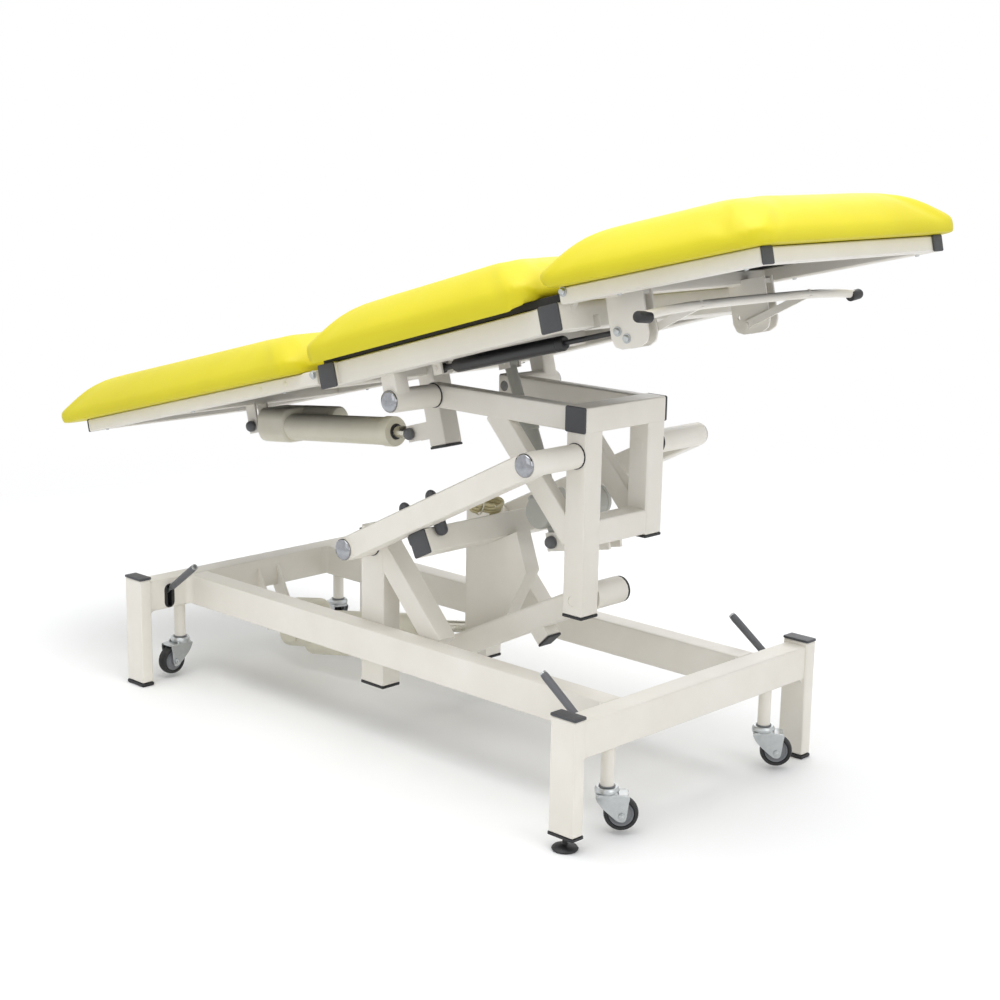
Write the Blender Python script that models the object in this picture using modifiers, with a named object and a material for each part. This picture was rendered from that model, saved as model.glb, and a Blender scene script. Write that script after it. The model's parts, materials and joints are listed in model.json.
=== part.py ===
"""Hi-lo ultrasound examination table: three cushioned sections on a lifting parallelogram.

Metres, +Z up, +X towards the head end, +Y away from the near long side. Rest is the pose
of the photograph: half raised, tilted head up, back and leg sections nearly in line.
"""
import bpy
import bmesh
from math import atan2, cos, degrees, hypot, pi, radians, sin
from mathutils import Matrix, Vector

for old in list(bpy.data.objects):
    bpy.data.objects.remove(old, do_unlink=True)

ORIGIN_SHIFT = 0.029    # base middle to the middle of the whole outline

# Fits
GAP = 0.0003            # between two pieces that touch
FIT = 0.0003            # around a pin in its hole
EDGE = 0.003            # rounding of the steel tubes
BITE = 0.004            # how far welded members run into each other

# Base frame
BASE_LENGTH = 1.370
BASE_WIDTH = 0.740
LEG_X = 0.060
LEG_Y = 0.030
LEG_TOP = 0.250
FOOT_CAP_H = 0.008
RAIL_W = 0.050
RAIL_H = 0.070
RAIL_TOP = 0.242
RAIL_OUTER = 0.231      # outer face of the long rails, from the middle
MAST_X = 0.070
MAST_Y = 0.050
MAST_LOW = 0.103
MAST_ABOVE_PIN = 0.036
BRACE_DEPTH = 0.050
BRACE_TOP = (-0.040, 0.405)
BRACE_FOOT = (0.130, 0.226)
LEVEL_LEG_LOW = 0.030   # the leg with the screw foot is shorter
LEVEL_DISC_R = 0.025
LEVEL_DISC_H = 0.009
LEVEL_STEM_R = 0.005
LEVEL_STEM_TOP = 0.065

# Castors and their lowering levers
CASTOR_Y = BASE_WIDTH / 2 - 0.127
STEM_R = 0.013
STEM_LOW = 0.0915
STEM_TOP = 0.220
STEM_PIN_R = 0.005
STEM_PIN_LOW = 0.080
WHEEL_R = 0.0325
WHEEL_HALF = 0.012
WHEEL_CLEAR = 0.007     # wheel off the floor while the table stands on its legs
TRAIL = 0.027
AXLE_R = 0.004
FORK_T = 0.003
FORK_SIDE = 0.0025      # wheel to fork plate
CUP_R = 0.020
CUP_LOW = 0.0765
LEVER_Y = BASE_WIDTH / 2 - 0.082
LEVER_Z = 0.198
LEVER_REACH = 0.125
LEVER_RISE = 0.090
LEVER_R = 0.0045
GRIP_R = 0.007
GRIP_LENGTH = 0.065
LEVER_PIN_R = 0.004
POCKET_W = 0.012
POCKET_LOW = 0.1765
POCKET_TOP = 0.2265

# Lift parallelogram
PIVOT_X = -0.058
PIVOT_Z = 0.409
ARM_LENGTH = 0.5636
ARM_ANGLE = 26.4
LINK_DROP = 0.285       # link pivots below the arm pivots
ARM_DEPTH = 0.050
ARM_IN = 0.215
ARM_OUT = 0.255
HUB_R = 0.024
HUB_OUT = 0.2577
HUB_GAP = 0.0025        # washer space between a hub and the post or mast
PIN_R = 0.011
PIN_GRIP = 0.030        # pin length held in the post or mast
DOME_R = 0.023
DOME_H = 0.011
CROSS_AT = 0.203
CROSS_SIZE = 0.050
CROSS_HALF = 0.235
LEVER_HALF = 0.020
LEVER_SLOT = 0.0145
LIFT_PIN = (0.0597, -0.2350)
LIFT_PIN_R = 0.005
PEG_R = 0.011
PEG_AT = (0.156, 0.241)
PEG_LOW = -0.042
PEG_TOP = 0.045
LINK_IN = -0.024
LINK_OUT = -0.064
LINK_DEPTH = 0.050
LINK_HUB_FAR = 0.020
LINK_PIN_R = 0.010
STUB_AT = 0.388
STUB_END = (0.402, -0.050)
STUB_DEPTH = 0.040

# Lift drive
DRIVE_X = -0.585
DRIVE_Z = 0.100
DRIVE_PIN_R = 0.007
CHEEK_IN = 0.026
CHEEK_T = 0.006
LIFT_TUBE_R = 0.022
LIFT_TUBE_END = 0.500
LIFT_ROD_R = 0.013
LIFT_ROD_START = 0.260
LIFT_EYE_R = 0.025
LIFT_EYE_HOLE = 0.0185
LIFT_BODY_EYE_R = 0.017
LIFT_NECK = 0.050
LIFT_NECK_Z = 0.015
LIFT_HOUSE = (0.036, 0.165)
LIFT_HOUSE_Y = 0.045
LIFT_HOUSE_Z = (-0.060, 0.050)
LIFT_MOTOR = (0.120, 0.255)
LIFT_MOTOR_Z = -0.026
LIFT_MOTOR_R = 0.038
LIFT_TUBE_START = 0.150
LIFT_PANEL = ((0.100, 0.0), (0.256, 0.0), (0.247, -0.085), (0.084, -0.200), (0.013, -0.164))
LIFT_MOUTH = 0.044

# Tower on the upper ends of the arms
POST = 0.050
POST_OUT = 0.118
NEAR_POST_LOW = -0.314
FAR_POST_LOW = -0.180
TOP_BAR_LOW = 0.045
LOW_BAR_LOW = -0.177
TOWER_RAIL_W = 0.030
TOWER_RAIL_END = -0.405
TOWER_BRACE_TOP = (-0.224, 0.058)
TOWER_BRACE_FOOT = (-0.012, -0.165)
TILT_X = -0.387         # tilt pivot, from the upper arm pivot
TILT_Z = 0.070
TILT_ANGLE = 15.6
TILT_DRIVE_X = -0.142
TILT_DRIVE_Z = -0.208
TILT_CHEEK_IN = 0.0145
TILT_PIN_R = 0.006
TILT_BODY_EYE_R = 0.016
TILT_NECK = 0.060
TILT_NECK_Z = 0.014
TILT_HOUSE = (0.045, 0.120)
TILT_HOUSE_Y = 0.028
TILT_HOUSE_Z = 0.033
TILT_MOTOR_X = 0.064
TILT_MOTOR_Y = (-0.042, 0.155)
TILT_TUBE = (0.100, 0.260)
TILT_BORE = 0.105
TILT_ROD_START = 0.150
TILT_EYE_R = 0.0145

# Seat section, along (u) and square to (w) the seat, from the tilt pivot
SEAT_FOOT = -0.156
SEAT_HEAD = 0.520
SEAT_LOW = 0.051
SEAT_TUBE = 0.050
SEAT_HALF = 0.274
SEAT_RAIL_OUT = SEAT_HALF - 0.006
TILT_HUB_OUT = SEAT_HALF - 0.0355
SEAT_RAIL_W = 0.046
MID_AT = 0.112
MID_W = 0.040
MID_LOW = 0.058
TILT_EYE = (0.112, 0.0400)
TILT_TUBE_R = 0.021
TILT_ROD_R = 0.012
MOTOR_R = 0.030
LEG_POST_U = -0.139
LEG_POST_SIZE = 0.050
LEG_POST_LOW = -0.100
LEG_EYE = (-0.194, -0.063)
BOARD_T = 0.015
BOARD_HALF = SEAT_HALF - 0.012
PAD_HALF = SEAT_HALF + 0.040
PAD_T = 0.080
CROWN = 0.017
PAD_SIDE_ROUND = 0.080   # how far the top draws in from each long side
SEAT_PAD_FOOT = -0.174
SEAT_PAD_HEAD = 0.487
SEAT_PAD_ROUND = (0.105, 0.070)
LEG_PAD_ROUND = (0.145, 0.070)
BACK_PAD_ROUND = (0.085, 0.075)

# Leg section, from its hinge
LEG_HINGE = (-0.176, 0.085)
LEG_RISE = 1.6
SIDE_OUT = SEAT_HALF
SIDE_W = 0.030
SIDE_LOW = -0.022
SIDE_TOP = 0.008
HINGE_R = 0.005
LEG_FRAME_END = -0.856
LEG_PAD_NEAR = -0.024
LEG_PAD_END = -0.920
LEG_DRIVE = (-0.5565, -0.070)
LEG_TUBE_R = 0.031
LEG_ROD_R = 0.013
LEG_BODY_EYE_R = 0.015
LEG_EYE_R = 0.0170
LEG_EYE_HALF = 0.0130
LEG_NECK = 0.060
LEG_NECK_Z = 0.013
LEG_HOUSE = (0.032, 0.130)
LEG_HOUSE_Y = (-0.034, 0.078)
LEG_HOUSE_Z = (-0.036, 0.044)
LEG_MOTOR = (0.115, 0.240)
LEG_MOTOR_Y = 0.048
LEG_MOTOR_Z = 0.018
LEG_MOTOR_R = 0.027
LEG_TUBE = (0.115, 0.478)
LEG_BORE = 0.150
LEG_ROD_START = 0.180

# Back section, from its hinge
BACK_HINGE = (0.536, 0.117)
BACK_DROP = 2.6
BACK_FRAME_END = 0.428
BACK_PAD_NEAR = -0.027
BACK_PAD_END = 0.447
BRACKET_Y = 0.180
BRACKET_IN = 0.010
BRACKET_T = 0.004
BRACKET_FOOT = 0.026
BRACKET_HEAD = 0.112
BRACKET_CORNER = 0.014
BRACKET_LOW = -0.115
SPRING_EYE = (0.043, -0.082)
SPRING_SEAT = (0.1007, 0.0446)
SPRING_R = 0.011
SPRING_ROD_R = 0.005
SPRING_PIN_R = 0.005
SPRING_EYE_R = 0.010
SPRING_EYE_HALF = 0.008
SPRING_NECK = (0.007, 0.050)
SPRING_NECK_R = 0.006
SPRING_TUBE = (0.040, 0.335)
SPRING_BORE = 0.060
SPRING_ROD_START = 0.120
SPRING_RING_R = 0.0130
SPRING_RING_HOLE = 0.0092
ROD_SLOT_HALF = 0.009   # slot under the head tube for the spring's rod
ROD_SLOT_TOP = 0.074
BAR_PIVOT = (0.062, -0.097)
BAR_AT = (0.2065, -0.060)
BAR_R = 0.008
BAR_HALF = 0.325
BAR_PIN_R = 0.004

# Hank of tied cable on the cross tube
CABLE_R = 0.003
HANK_LOOPS = 3
HANK_PITCH = 0.0068
HANK_X = 0.017
HANK_Y = 0.042
HANK_MIDDLE = -0.025

PARTS = bpy.data.collections.new("ultrasound_table")
CUTTERS = bpy.data.collections.new("cutters")
bpy.context.scene.collection.children.link(PARTS)
bpy.context.scene.collection.children.link(CUTTERS)
CUTTERS.hide_render = True


def turn(point, angle):
    """A point (x, z) turned so that +X rises by angle degrees."""
    c = cos(radians(angle))
    s = sin(radians(angle))
    return (point[0] * c - point[1] * s, point[0] * s + point[1] * c)


def add(a, b):
    return (a[0] + b[0], a[1] + b[1])


def span(start, end):
    """Length and rise in degrees of the line from start to end."""
    dx = end[0] - start[0]
    dz = end[1] - start[1]
    return hypot(dx, dz), degrees(atan2(dz, dx))


def frame(name, parent, x, z, y=0.0, angle=0.0, heading=0.0):
    """Empty on a joint's axis, its +X raised by angle and turned about Z by heading."""
    empty = bpy.data.objects.new(name, None)
    empty.empty_display_size = 0.05
    empty.parent = parent
    empty.location = (x, y, z)
    empty.rotation_euler = (0.0, -radians(angle), radians(heading))
    PARTS.objects.link(empty)
    return empty


def form(home, mesh):
    """A raw shape under its frame, kept with the cutters until part() takes it."""
    obj = bpy.data.objects.new("form", mesh)
    obj.parent = home
    obj.hide_render = True
    obj.display_type = "WIRE"
    CUTTERS.objects.link(obj)
    return obj


def from_bmesh(home, bm):
    mesh = bpy.data.meshes.new("form")
    bm.to_mesh(mesh)
    bm.free()
    return form(home, mesh)


def block(home, x, y, z, edge=EDGE):
    """Box between the pairs x, y and z with bevelled edges."""
    bm = bmesh.new()
    bmesh.ops.create_cube(bm, size=1.0)
    size = Vector((abs(x[1] - x[0]), abs(y[1] - y[0]), abs(z[1] - z[0])))
    middle = Vector(((x[0] + x[1]) / 2, (y[0] + y[1]) / 2, (z[0] + z[1]) / 2))
    bmesh.ops.scale(bm, vec=size, verts=bm.verts)
    bmesh.ops.translate(bm, vec=middle, verts=bm.verts)
    obj = from_bmesh(home, bm)
    if edge:
        bevel = obj.modifiers.new("rounded edges", "BEVEL")
        bevel.width = edge
        bevel.segments = 1
        bevel.limit_method = "NONE"
    return obj


def bar(home, start, end, depth, y, over=0.0, edge=EDGE):
    """Straight member between two (x, z) points, depth across, y[0] to y[1] wide."""
    length, angle = span(start, end)
    obj = block(home, (-over, length + over), y, (-depth / 2, depth / 2), edge)
    rise = Matrix.Rotation(-radians(angle), 4, "Y")
    obj.data.transform(Matrix.Translation((start[0], 0.0, start[1])) @ rise)
    return obj


def rod(home, start, end, radius, sides=16):
    """Cylinder between two points."""
    a = Vector(start)
    b = Vector(end)
    bm = bmesh.new()
    bmesh.ops.create_cone(bm, cap_ends=True, segments=sides, radius1=radius,
                          radius2=radius, depth=(b - a).length)
    aim = (b - a).to_track_quat("Z", "Y").to_matrix().to_4x4()
    bm.transform(Matrix.Translation((a + b) / 2) @ aim)
    return from_bmesh(home, bm)


def across(home, at, y, radius, sides=16):
    """Cylinder along Y at the (x, z) point."""
    return rod(home, (at[0], y[0], at[1]), (at[0], y[1], at[1]), radius, sides)


def turned(home, profile, at, axis="Z", sides=16, ring=False):
    """Profile of (radius, along) points turned about Z or Y through the point at."""
    bm = bmesh.new()
    points = [bm.verts.new((r, 0.0, along)) for r, along in profile]
    for first, second in zip(points, points[1:]):
        bm.edges.new((first, second))
    if ring:
        bm.edges.new((points[-1], points[0]))
    mesh = bpy.data.meshes.new("form")
    bm.to_mesh(mesh)
    bm.free()
    obj = form(home, mesh)
    obj.location = at
    if axis == "Y":
        obj.rotation_euler = (-pi / 2, 0.0, 0.0)
    screw = obj.modifiers.new("turned", "SCREW")
    screw.steps = sides
    screw.render_steps = sides
    screw.use_merge_vertices = True
    screw.merge_threshold = 0.00001
    screw.use_normal_calculate = True
    return obj


def baked_curve(home, curve, move):
    """Mesh of a curve as Blender evaluates it, welded and moved."""
    obj = bpy.data.objects.new("curve", curve)
    CUTTERS.objects.link(obj)
    graph = bpy.context.evaluated_depsgraph_get()
    mesh = bpy.data.meshes.new_from_object(obj.evaluated_get(graph))
    bpy.data.objects.remove(obj, do_unlink=True)
    bm = bmesh.new()
    bm.from_mesh(mesh)
    bpy.data.meshes.remove(mesh)
    bmesh.ops.remove_doubles(bm, verts=bm.verts, dist=0.00001)
    bmesh.ops.recalc_face_normals(bm, faces=bm.faces)
    bm.transform(move)
    return from_bmesh(home, bm)


def plate(home, outline, y):
    """Flat outline of (x, z) points, from y[0] to y[1]."""
    curve = bpy.data.curves.new("outline", "CURVE")
    curve.dimensions = "2D"
    curve.fill_mode = "BOTH"
    curve.extrude = abs(y[1] - y[0]) / 2
    line = curve.splines.new("POLY")
    line.points.add(len(outline) - 1)
    for point, (px, pz) in zip(line.points, outline):
        point.co = (px, pz, 0.0, 1.0)
    line.use_cyclic_u = True
    stand = Matrix.Rotation(pi / 2, 4, "X")
    return baked_curve(home, curve, Matrix.Translation((0.0, (y[0] + y[1]) / 2, 0.0)) @ stand)


def tube(home, points, radius, sides_half=2):
    """Round tube along points."""
    curve = bpy.data.curves.new("route", "CURVE")
    curve.dimensions = "3D"
    curve.bevel_depth = radius
    curve.bevel_resolution = sides_half
    curve.use_fill_caps = True
    line = curve.splines.new("POLY")
    line.points.add(len(points) - 1)
    for point, (px, py, pz) in zip(line.points, points):
        point.co = (px, py, pz, 1.0)
    return baked_curve(home, curve, Matrix.Identity(4))


def softened(corners, radius, steps=4):
    """Outline with each corner replaced by a short curve."""
    points = []
    count = len(corners)
    for i, corner in enumerate(corners):
        here = Vector(corner)
        before = (Vector(corners[i - 1]) - here).normalized()
        after = (Vector(corners[(i + 1) % count]) - here).normalized()
        for step in range(steps + 1):
            t = step / steps
            a = here + before * radius * (1 - t) ** 2 + after * radius * t ** 2
            points.append((a.x, a.y))
    return points


def cushion(home, x, low, round_minus, round_plus):
    """Upholstered pad from x[0] to x[1]: crown on top, big roundings, sides drawn in.

    A cube cut into a cage; the layer at height t is inset by round * (1 - cos(phi)) and
    lies at rise * sin(phi), and a Subdivision Surface smooths it.
    """
    cuts = 4
    length = x[1] - x[0]
    middle = (x[0] + x[1]) / 2
    rise = PAD_T * 0.74
    bm = bmesh.new()
    bmesh.ops.create_cube(bm, size=2.0)
    bmesh.ops.subdivide_edges(bm, edges=bm.edges, cuts=cuts, use_grid_fill=True)
    for vert in bm.verts:
        p, q, r = vert.co
        t = (r + 1) / 2
        first = 1 / (cuts + 1)
        if t < first / 2:
            height = 0.0
            part_in = 0.04
        else:
            phi = (t - first) / (1 - first) * pi / 2
            height = PAD_T - rise + rise * sin(phi)
            part_in = 1 - cos(phi)
        side = round_plus if p > 0 else round_minus
        reach_x = length / 2 - side * part_in - 0.004 * (1 - q * q)
        reach_y = PAD_HALF - PAD_SIDE_ROUND * part_in - 0.004 * (1 - p * p)
        if abs(q) < 0.999:
            q = 1.06 * q
        if t > 0.999:
            height = height + CROWN * (1 - p ** 4) * (1 - q ** 4)
        vert.co = (middle + p * reach_x, q * reach_y, low + height)
    obj = from_bmesh(home, bm)
    smooth = obj.modifiers.new("soft", "SUBSURF")
    smooth.levels = 1
    smooth.render_levels = 1
    return obj


def look(name, colour, rough, metal=0.0):
    material = bpy.data.materials.new(name)
    material.use_nodes = True
    surface = material.node_tree.nodes["Principled BSDF"]
    surface.inputs["Base Color"].default_value = (*colour, 1.0)
    surface.inputs["Roughness"].default_value = rough
    surface.inputs["Metallic"].default_value = metal
    return material


CREAM = ((0.80, 0.76, 0.69), 0.38)
VINYL = ((0.83, 0.66, 0.06), 0.42)
BLACK = ((0.02, 0.02, 0.02), 0.5)
GREY = ((0.10, 0.10, 0.11), 0.5)
CHROME = ((0.75, 0.75, 0.76), 0.12, 1.0)
ZINC = ((0.55, 0.56, 0.58), 0.35, 1.0)
IVORY = ((0.78, 0.74, 0.64), 0.45)
TAN = ((0.62, 0.52, 0.36), 0.55)


def part(name, obj, colour, steps=()):
    """Finish a node: name, material, then joins ('+') and cuts ('-') in order."""
    CUTTERS.objects.unlink(obj)
    PARTS.objects.link(obj)
    obj.name = name
    obj.data.name = name
    obj.hide_render = False
    obj.display_type = "TEXTURED"
    obj.data.materials.clear()
    obj.data.materials.append(look(name, *colour))
    for sign, tool in steps:
        tool.name = name + " form"
        mod = obj.modifiers.new(tool.name, "BOOLEAN")
        mod.object = tool
        mod.operation = "UNION" if sign == "+" else "DIFFERENCE"
        mod.solver = "EXACT"
    return obj


def domed_pin(name, home, at, start, end, side):
    """Stub pin along Y with a domed head outside the hub."""
    profile = [(0.0, start), (PIN_R, start), (PIN_R, end), (DOME_R, end)]
    for step in range(1, 5):
        phi = step / 4 * pi / 2
        profile.append((DOME_R * cos(phi) if step < 4 else 0.0, end + 0.003 + (DOME_H - 0.003) * sin(phi)))
    profile.insert(4, (DOME_R, end + 0.003))
    if side < 0:
        profile = [(r, -along) for r, along in profile]
    return part(name, turned(home, profile, (at[0], 0.0, at[1]), "Y"), CHROME)


def pair(low, high, side):
    """The span low to high on the near (-1) or far (+1) side."""
    return (side * low, side * high)


# Everything hangs on one origin.
origin = frame("origin", None, 0.0, 0.0)

# Base: two end frames, each a rail between two legs.
END_X = BASE_LENGTH / 2 - LEG_X / 2
RAIL_LOW = RAIL_TOP - RAIL_H
LEG_INNER = BASE_WIDTH / 2 - LEG_Y


def end_frame(name, sx):
    x = sx * END_X
    rail = block(origin, (x - RAIL_W / 2, x + RAIL_W / 2), (-LEG_INNER - BITE, LEG_INNER + BITE),
                 (RAIL_LOW, RAIL_TOP))
    steps = []
    for side in (-1, 1):
        low = FOOT_CAP_H
        if sx > 0 and side < 0:
            low = LEVEL_LEG_LOW
        leg = block(origin, (x - LEG_X / 2, x + LEG_X / 2), pair(LEG_INNER, BASE_WIDTH / 2, side),
                    (low, LEG_TOP))
        steps.append(("+", leg))
    if sx < 0:
        start = (x + RAIL_W / 2 - 0.008, RAIL_LOW + 0.026)
        for side in (-1, 1):
            cheek = bar(origin, start, (DRIVE_X, DRIVE_Z), 0.040,
                        pair(CHEEK_IN, CHEEK_IN + CHEEK_T, side), 0.016, 0.0)
            steps.append(("+", cheek))
        reach = CHEEK_IN + CHEEK_T + 0.004
        steps.append(("+", across(origin, (DRIVE_X, DRIVE_Z), (-reach, reach), DRIVE_PIN_R)))
    for side in (-1, 1):
        hole = rod(origin, (x, side * CASTOR_Y, RAIL_LOW - 0.01),
                   (x, side * CASTOR_Y, STEM_TOP + 0.003), STEM_R + 2 * FIT, 16)
        steps.append(("-", hole))
        pocket = block(origin, (x - sx * (RAIL_W / 2 + 0.01), x + sx * 0.012),
                       (side * LEVER_Y - POCKET_W / 2, side * LEVER_Y + POCKET_W / 2),
                       (POCKET_LOW, POCKET_TOP), 0.0)
        steps.append(("-", pocket))
    for side in (-1, 1):
        pin = across(origin, (x, LEVER_Z), (side * LEVER_Y - POCKET_W / 2 - BITE / 2,
                                            side * LEVER_Y + POCKET_W / 2 + BITE / 2), LEVER_PIN_R, 10)
        steps.append(("+", pin))
    if sx > 0:
        y = -(BASE_WIDTH - LEG_Y) / 2
        bore = rod(origin, (x, y, LEVEL_LEG_LOW - 0.01), (x, y, LEVEL_STEM_TOP + 0.005),
                   LEVEL_STEM_R + FIT, 10)
        steps.append(("-", bore))
    part(name, rail, CREAM, steps)


end_frame("end_frame_foot", -1)
end_frame("end_frame_head", 1)

# Long rails between the end frames, and the masts inside them.
RAIL_REACH = END_X - RAIL_W / 2 - GAP
MAST_OUT = RAIL_OUTER - RAIL_W - GAP
MAST_IN = MAST_OUT - MAST_Y
LINK_Z = PIVOT_Z - LINK_DROP
for label, side in (("near", -1), ("far", 1)):
    rail = block(origin, (-RAIL_REACH, RAIL_REACH), pair(RAIL_OUTER - RAIL_W, RAIL_OUTER, side),
                 (RAIL_LOW, RAIL_TOP))
    part("long_rail_" + label, rail, CREAM)
    mast = block(origin, (PIVOT_X - MAST_X / 2, PIVOT_X + MAST_X / 2), pair(MAST_IN, MAST_OUT, side),
                 (MAST_LOW, PIVOT_Z + MAST_ABOVE_PIN))
    brace = bar(origin, BRACE_TOP, BRACE_FOOT, BRACE_DEPTH, pair(MAST_IN + 0.001, MAST_OUT - 0.001, side))
    hole = across(origin, (PIVOT_X, PIVOT_Z), pair(MAST_OUT - PIN_GRIP - GAP, MAST_OUT + 0.01, side),
                  PIN_R + FIT)
    link_hole = across(origin, (PIVOT_X, LINK_Z), pair(MAST_IN - 0.01, MAST_IN + 0.020 + GAP, side),
                       LINK_PIN_R + FIT)
    part("mast_" + label, mast, CREAM, [("+", brace), ("-", hole), ("-", link_hole)])
    domed_pin("arm_pin_lower_" + label, origin, (PIVOT_X, PIVOT_Z), MAST_OUT - PIN_GRIP,
              HUB_OUT + GAP, side)
shaft = across(origin, (PIVOT_X, LINK_Z), (-MAST_IN - 0.020, MAST_IN + 0.020), LINK_PIN_R)
part("link_shaft_base", shaft, ZINC)

# Feet: three caps and one screw foot.
for label, sx, side in (("foot_near", -1, -1), ("foot_far", -1, 1), ("head_far", 1, 1)):
    cap = block(origin, (sx * END_X - LEG_X / 2 - 0.001, sx * END_X + LEG_X / 2 + 0.001),
                pair(LEG_INNER - 0.001, BASE_WIDTH / 2 + 0.001, side), (0.0, FOOT_CAP_H - GAP), 0.002)
    part("foot_cap_" + label, cap, BLACK)
level = frame("levelling_axis", origin, END_X, 0.0, -(BASE_WIDTH - LEG_Y) / 2)
disc = turned(level, [(0.0, 0.0), (LEVEL_DISC_R - 0.002, 0.0), (LEVEL_DISC_R, 0.003),
                      (LEVEL_DISC_R - 0.003, LEVEL_DISC_H - 0.002), (LEVEL_STEM_R + 0.006, LEVEL_DISC_H),
                      (LEVEL_STEM_R, LEVEL_DISC_H + 0.001), (LEVEL_STEM_R, LEVEL_STEM_TOP),
                      (0.0, LEVEL_STEM_TOP)], (0.0, 0.0, 0.0))
part("levelling_foot", disc, ZINC)

# Castors, drawn up clear of the floor, each with a lever in the end rail.
AXLE_Z = WHEEL_R + WHEEL_CLEAR
LEVER_LENGTH = hypot(LEVER_REACH, LEVER_RISE)


def castor(label, sx, side, heading):
    name = "castor_" + label
    x = sx * END_X
    y = side * CASTOR_Y
    swing = frame(name + "_lever_axis", origin, x, LEVER_Z, side * LEVER_Y)
    aim = Vector((-sx * LEVER_REACH, 0.0, LEVER_RISE)) / LEVER_LENGTH
    handle = rod(swing, (0.0, 0.0, 0.0), aim * (LEVER_LENGTH - 0.010), LEVER_R, 8)
    boss = across(swing, (0.0, 0.0), (-POCKET_W / 2 + 0.0008, POCKET_W / 2 - 0.0008), 0.009, 10)
    grip = rod(swing, aim * (LEVER_LENGTH - GRIP_LENGTH), aim * LEVER_LENGTH, GRIP_R, 10)
    eye = across(swing, (0.0, 0.0), (-POCKET_W, POCKET_W), LEVER_PIN_R + FIT, 10)
    part(name + "_lever", handle, GREY, [("+", boss), ("+", grip), ("-", eye)])
    drop = frame(name + "_stem_axis", origin, x, 0.0, y)
    stem = turned(drop, [(0.0, STEM_PIN_LOW), (STEM_PIN_R, STEM_PIN_LOW), (STEM_PIN_R, STEM_LOW),
                         (STEM_R, STEM_LOW), (STEM_R, STEM_TOP - 0.002), (STEM_R - 0.002, STEM_TOP),
                         (0.0, STEM_TOP)], (0.0, 0.0, 0.0), "Z", 14)
    part(name + "_stem", stem, ZINC)
    swivel = frame(name + "_swivel_axis", drop, 0.0, 0.0, 0.0, 0.0, heading)
    cup = rod(swivel, (0.0, 0.0, CUP_LOW), (0.0, 0.0, STEM_LOW - GAP), CUP_R, 16)
    inner = WHEEL_HALF + FORK_SIDE
    shape = softened([(-0.013, STEM_LOW - 0.003), (0.016, STEM_LOW - 0.003), (TRAIL + 0.011, AXLE_Z + 0.006),
                      (TRAIL + 0.009, AXLE_Z - 0.009), (TRAIL - 0.009, AXLE_Z - 0.009)], 0.006, 1)
    plates = [("+", plate(swivel, shape, pair(inner, inner + FORK_T, way))) for way in (-1, 1)]
    axle = across(swivel, (TRAIL, AXLE_Z), (-inner - FORK_T - 0.002, inner + FORK_T + 0.002), AXLE_R, 10)
    seat = rod(swivel, (0.0, 0.0, STEM_PIN_LOW - GAP), (0.0, 0.0, STEM_LOW + 0.01), STEM_PIN_R + FIT, 10)
    part(name + "_fork", cup, ZINC, plates + [("+", axle), ("-", seat)])
    roll = frame(name + "_wheel_axis", swivel, TRAIL, AXLE_Z)
    h = WHEEL_HALF
    rim = [(AXLE_R + FIT, -h), (WHEEL_R - 0.004, -h), (WHEEL_R, -h + 0.004), (WHEEL_R, h - 0.004),
           (WHEEL_R - 0.004, h), (AXLE_R + FIT, h)]
    part(name + "_wheel", turned(roll, rim, (0.0, 0.0, 0.0), "Y", 20, True), BLACK)


castor("foot_near", -1, -1, -85.0)
castor("foot_far", -1, 1, 160.0)
castor("head_near", 1, -1, 44.0)
castor("head_far", 1, 1, 40.0)

# Lifting arms, their cross tube and the lever that the lift drive pushes.
arms = frame("lift_axis", origin, PIVOT_X, PIVOT_Z, 0.0, ARM_ANGLE)
for label, side in (("near", -1), ("far", 1)):
    beam = block(arms, (0.0, ARM_LENGTH), pair(ARM_IN, ARM_OUT, side), (-ARM_DEPTH / 2, ARM_DEPTH / 2))
    low_hub = across(arms, (0.0, 0.0), pair(MAST_OUT + HUB_GAP, HUB_OUT, side), HUB_R, 16)
    top_hub = across(arms, (ARM_LENGTH, 0.0), pair(POST_OUT + HUB_GAP, HUB_OUT, side), HUB_R, 16)
    low_bore = across(arms, (0.0, 0.0), pair(0.10, 0.30, side), PIN_R + FIT)
    top_bore = across(arms, (ARM_LENGTH, 0.0), pair(0.10, 0.30, side), PIN_R + FIT)
    part("arm_" + label, beam, CREAM,
         [("+", low_hub), ("+", top_hub), ("-", low_bore), ("-", top_bore)])
CROSS_TOP = -ARM_DEPTH / 2 - GAP
CROSS_LOW = CROSS_TOP - CROSS_SIZE
part("arm_cross_tube", block(arms, (CROSS_AT - CROSS_SIZE / 2, CROSS_AT + CROSS_SIZE / 2),
                             (-CROSS_HALF, CROSS_HALF), (CROSS_LOW, CROSS_TOP)), CREAM)
lever_top = CROSS_LOW - GAP
panel = plate(arms, [(x, lever_top + z) for x, z in LIFT_PANEL], (-LEVER_HALF, LEVER_HALF))
mouth = block(arms, (LIFT_PIN[0] - 2 * LIFT_MOUTH, LIFT_PIN[0] + LIFT_MOUTH), (-LEVER_SLOT, LEVER_SLOT),
              (LIFT_PIN[1] - 2 * LIFT_MOUTH, LIFT_PIN[1] + LIFT_MOUTH), 0.0)
lever_pin = across(arms, LIFT_PIN, (-LEVER_HALF - 0.003, LEVER_HALF + 0.003), LIFT_PIN_R, 10)
part("lift_lever", panel, CREAM, [("-", mouth), ("+", lever_pin)])
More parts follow.
